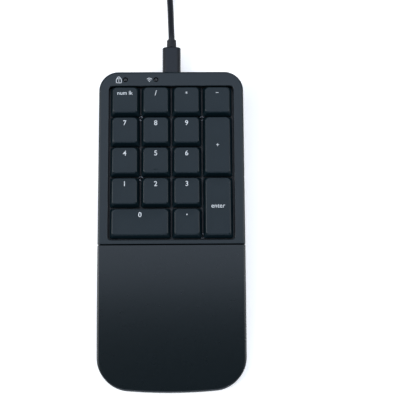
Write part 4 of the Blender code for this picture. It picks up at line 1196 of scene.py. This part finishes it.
# Name, first column and row, columns and rows, legend, its height and its width
KEYS = (
    ("num_lock", 0, 0, 1, 1, "num lk", None, 9.5 * MM),
    ("divide", 1, 0, 1, 1, "/", 3.3 * MM, None),
    ("multiply", 2, 0, 1, 1, "*", 1.6 * MM, None),
    ("subtract", 3, 0, 1, 1, "−", None, 1.7 * MM),
    ("7", 0, 1, 1, 1, "7", DIGIT, None),
    ("8", 1, 1, 1, 1, "8", DIGIT, None),
    ("9", 2, 1, 1, 1, "9", DIGIT, None),
    ("add", 3, 1, 1, 2, "+", 1.7 * MM, None),
    ("4", 0, 2, 1, 1, "4", DIGIT, None),
    ("5", 1, 2, 1, 1, "5", DIGIT, None),
    ("6", 2, 2, 1, 1, "6", DIGIT, None),
    ("1", 0, 3, 1, 1, "1", DIGIT, None),
    ("2", 1, 3, 1, 1, "2", DIGIT, None),
    ("3", 2, 3, 1, 1, "3", DIGIT, None),
    ("enter", 3, 3, 1, 2, "enter", None, 8.3 * MM),
    ("0", 0, 4, 2, 1, "0", DIGIT, None),
    ("decimal", 2, 4, 1, 1, ".", 0.9 * MM, None),
)


def legend_place(rows):
    """A legend stands near the rear edge of a key, or in the middle of a tall one."""
    if rows > 1:
        return (FRONT_RUN - REAR_RUN) / 2
    return (rows * PITCH - CAP_GAP) / 2 - REAR_RUN - LEGEND_FROM_REAR


for name, column, row, columns, rows, text, height, width in KEYS:
    model = cap_models[columns, rows]
    to_key = TO_DECK @ Matrix.Translation(((column + columns / 2 - COLUMNS / 2) * PITCH,
                                           (ROWS / 2 - row - rows / 2) * PITCH, 0.0))
    cap = duplicate(model, f"cap_{name}", to_key)
    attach(cap, f"key_{name}")
    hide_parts(f"keycap_{name}")
    legend = flat_text(f"legend_{name}", text, height, width, 0.01 if height else 0.0)
    legend.data.transform(Matrix.Translation((0.0, legend_place(rows), 0.0)))
    ink_onto(legend, model)
    legend.data.transform(to_key)
    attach(legend, f"key_{name}")
print(len(KEYS), "keys with legends")

# %% Homing bar on the 5 key
BAR_LENGTH, BAR_HALF, BAR_END, BAR_STAND = 3.2 * MM, 0.3 * MM, 0.28 * MM, 0.12 * MM
BAR_EDGE, BAR_FROM_FRONT = 0.16 * MM, 2.2 * MM
bar = block("homing_bar", BAR_LENGTH, -BAR_HALF, BAR_HALF, CAP_RISE - MM, CAP_RISE + BAR_STAND,
            BAR_END, BAR_END, 4)
edit(bar, "EDGE")
pick(bar, "EDGE", lambda e: all(v.co.z > CAP_RISE for v in e.verts))
bpy.ops.mesh.bevel(offset=BAR_EDGE, segments=3, clamp_overlap=False)
done()
bar_y = -(PITCH - CAP_GAP) / 2 + FRONT_RUN + BAR_FROM_FRONT
bar.data.transform(TO_DECK @ Matrix.Translation((-PITCH / 2, bar_y, 0.0)))
smooth(bar, 35.0)
coat(bar, key_plastic.material)
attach(bar, "key_5")
for model in cap_models.values():
    bpy.data.objects.remove(model, do_unlink=True)

# %% [markdown]
# ## Lamps and their symbols
# Two light pipes end in low domes in the bezel, each in a slightly wider hole that reads as a
# dark ring. Beside them stand a padlock with a 1 in it and a fan of waves, both in thin lines.

# %% Lamps
LENS_STAND, LENS_EDGE = 0.15 * MM, 0.45 * MM
PIT_BORDER, PIT_STEP, PIT_DEPTH = 0.15 * MM, 0.12 * MM, 0.08 * MM
for lamp_name, (x, y) in zip(("numlock_lamp", "wireless_lamp"), LAMP_PLACES):
    lens = cylinder(lamp_name + "_lens", (0.0, 0.0), LAMP_RADIUS, PLATE_DEPTH + 2 * MM, LENS_STAND, 32)
    edit(lens, "EDGE")
    pick(lens, "EDGE", lambda e: all(v.co.z > LENS_STAND - NEAR for v in e.verts))
    bpy.ops.mesh.bevel(offset=LENS_EDGE, segments=6, clamp_overlap=False)
    pick(lens, "FACE", lambda f: f.normal.z > 0.9999)
    bpy.ops.mesh.inset(thickness=PIT_BORDER, depth=0.0)
    bpy.ops.mesh.inset(thickness=PIT_STEP, depth=-PIT_DEPTH)
    done()
    lens.data.transform(TO_DECK @ Matrix.Translation((x, y, 0.0)))
    smooth(lens, 40.0)
    coat(lens, lamp_lens.material)
    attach(lens, "case")
    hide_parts(lamp_name)

# %% Symbols
STROKE, SYMBOL_FROM_LAMP = 0.36 * MM, 4.1 * MM


def band(name, centre, outer, lowest, highest):
    """The part of a flat ring between two angles, in degrees."""
    deselect()
    bpy.ops.mesh.primitive_circle_add(vertices=64, radius=outer, fill_type="NGON",
                                      location=(*centre, 0.0))
    ring = bpy.context.object
    ring.name = ring.data.name = name
    apply_place(ring)
    edit(ring, "FACE")
    bpy.ops.mesh.select_all(action="SELECT")
    bpy.ops.mesh.inset(thickness=STROKE, depth=0.0)
    bpy.ops.mesh.delete(type="FACE")
    for angle, side in ((lowest, -1), (highest, 1)):
        turn = math.radians(angle)
        bpy.ops.mesh.select_all(action="SELECT")
        bpy.ops.mesh.bisect(plane_co=(*centre, 0.0), clear_outer=True,
                            plane_no=(-side * math.sin(turn), side * math.cos(turn), 0.0))
    done()
    return ring


def frame_plate(name, width, front, rear, radius):
    """A flat rounded frame of one stroke."""
    made = rounded_plane(name, width, front, rear, 0.0, radius, radius, 6)
    edit(made, "FACE")
    bpy.ops.mesh.select_all(action="SELECT")
    bpy.ops.mesh.inset(thickness=STROKE, depth=0.0)
    bpy.ops.mesh.delete(type="FACE")
    done()
    return made


LOCK_MIDDLE = -0.72 * MM
lock_frame = frame_plate("lock_frame", width=3.5 * MM, front=-2.2 * MM, rear=0.75 * MM, radius=0.5 * MM)
shackle = band("shackle", centre=(0.0, 0.8 * MM), outer=1.15 * MM, lowest=0.0, highest=180.0)
lock_digit = flat_text("lock_digit", "1", height=1.6 * MM, weight=0.04)
lock_digit.data.transform(Matrix.Translation((0.0, LOCK_MIDDLE, 0.0)))
padlock = join("padlock_symbol", lock_frame, shackle, lock_digit)

WAVES_START, DOT_RADIUS = (0.0, -1.2 * MM), 0.29 * MM
waves = [band(f"wave_{i}", WAVES_START, outer=(1.3 + 1.0 * i) * MM, lowest=42.0, highest=138.0)
         for i in range(2)]
dot = rounded_plane("wave_dot", 0.6 * MM, -1.4 * MM, -0.8 * MM, 0.0, DOT_RADIUS, DOT_RADIUS, 4)
fan = join("waves_symbol", *waves, dot)
# The coat of ink lies three fifths below the bezel's plane and two fifths above it.
SUNK = -0.2
for symbol, (x, y) in zip((padlock, fan), LAMP_PLACES):
    symbol.data.transform(TO_DECK @ Matrix.Translation((x - SYMBOL_FROM_LAMP, y, 0.0)))
    edit(symbol)
    face_outwards()
    done()
    if symbol.data.polygons[0].normal.z < 0:
        edit(symbol)
        bpy.ops.mesh.select_all(action="SELECT")
        bpy.ops.mesh.flip_normals()
        done()
    thick = symbol.modifiers.new("coat", "SOLIDIFY")
    thick.thickness = INK_COAT
    thick.offset = SUNK
    apply_modifiers(symbol)
    coat(symbol, legend_ink.material)
    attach(symbol, "case")
print("symbols", len(padlock.data.polygons), len(fan.data.polygons), "faces")

# %% [markdown]
# ## Finishes for the inner solids
# The plate, the switches, the wires and the rest keep their solids from the frame. Giving each
# a finish is all that they need: the plate shows as a thin line between the keys.

# %% Inner solids
INNER_FINISHES = {
    "switch_plate": plate_coat,
    "circuit_board": board_mask,
    "battery": battery_foil,
    "usb_socket": plug_nickel,
    "usb_c_plug_shell": plug_nickel,
    "usb_a_plug_shell": plug_nickel,
    "power_switch": switch_plastic,
    "pairing_button": switch_plastic,
}
for name, *_ in KEYS:
    INNER_FINISHES[f"switch_{name}"] = switch_plastic
for name in ("0", "add", "enter"):
    INNER_FINISHES[f"stabiliser_{name}"] = wire_steel
for name, finish in INNER_FINISHES.items():
    coat(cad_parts[name], finish.material)
print(len(INNER_FINISHES), "inner solids finished")

# %% [markdown]
# ## Floor and light
# The floor is a large sheet of white acrylic, lit a little from below as on a product table,
# which keeps shadows pale. One wide softbox hangs overhead towards the rear, so the level top
# mirrors it and looks satin, while the palm support, which falls towards the front, mirrors the
# dim room and darkens. A softbox at each side makes the floor white, and the left one is
# stronger, so the shadow falls to the right. A small one in front reaches the keys' front faces.

# %% Floor
deselect()
bpy.ops.mesh.primitive_plane_add(size=6.0, location=(0.0, 0.0, 0.0))
floor = bpy.context.object
floor.name = floor.data.name = "floor"
acrylic = Finish("floor_acrylic", Specular_IOR_Level=0.2, Emission_Strength=0.42)
cloud = acrylic.place.noise(40.0, 3.0)
acrylic.feed("Base Color", cloud.mix((0.90, 0.90, 0.90), (0.94, 0.94, 0.94)))
acrylic.feed("Roughness", cloud * 0.1 + 0.8)
acrylic.feed("Emission Color", cloud.mix((0.97, 0.98, 1.0), (1.0, 1.0, 1.0)))
coat(floor, acrylic.material)

# %% Lights
ROOM_LIGHT = 0.02
world = bpy.data.worlds.new("dim_room")
world.use_nodes = True
world.node_tree.nodes["Background"].inputs["Color"].default_value = (1.0, 1.0, 1.0, 1.0)
world.node_tree.nodes["Background"].inputs["Strength"].default_value = ROOM_LIGHT
bpy.context.scene.world = world
bpy.context.scene.view_settings.view_transform = "Standard"


COOL, NEUTRAL = (0.87, 0.99, 1.20), (0.98, 1.0, 1.02)


def softbox(name, place, target, size, power, colour):
    deselect()
    bpy.ops.object.light_add(type="AREA", location=place)
    lamp = bpy.context.object
    lamp.name = name
    lamp.data.shape = "RECTANGLE"
    lamp.data.size, lamp.data.size_y = size
    lamp.data.energy = power
    lamp.data.color = colour
    point_at(lamp, Vector(target))
    return lamp


LARGE, SMALL = (1.2, 0.8), (1.0, 0.6)
OBJECT = (0.0, 0.0, 0.0)
softbox("softbox_top", (0.0, 0.30, 0.85), (0.0, 0.30, 0.0), LARGE, 4.2, COOL)
softbox("softbox_left", (-1.1, -0.1, 0.8), OBJECT, LARGE, 15.0, NEUTRAL)
softbox("softbox_right", (1.1, -0.1, 0.8), OBJECT, LARGE, 9.0, NEUTRAL)
softbox("softbox_front", (0.0, -1.0, 0.4), OBJECT, SMALL, 3.0, COOL)
print("lights set")
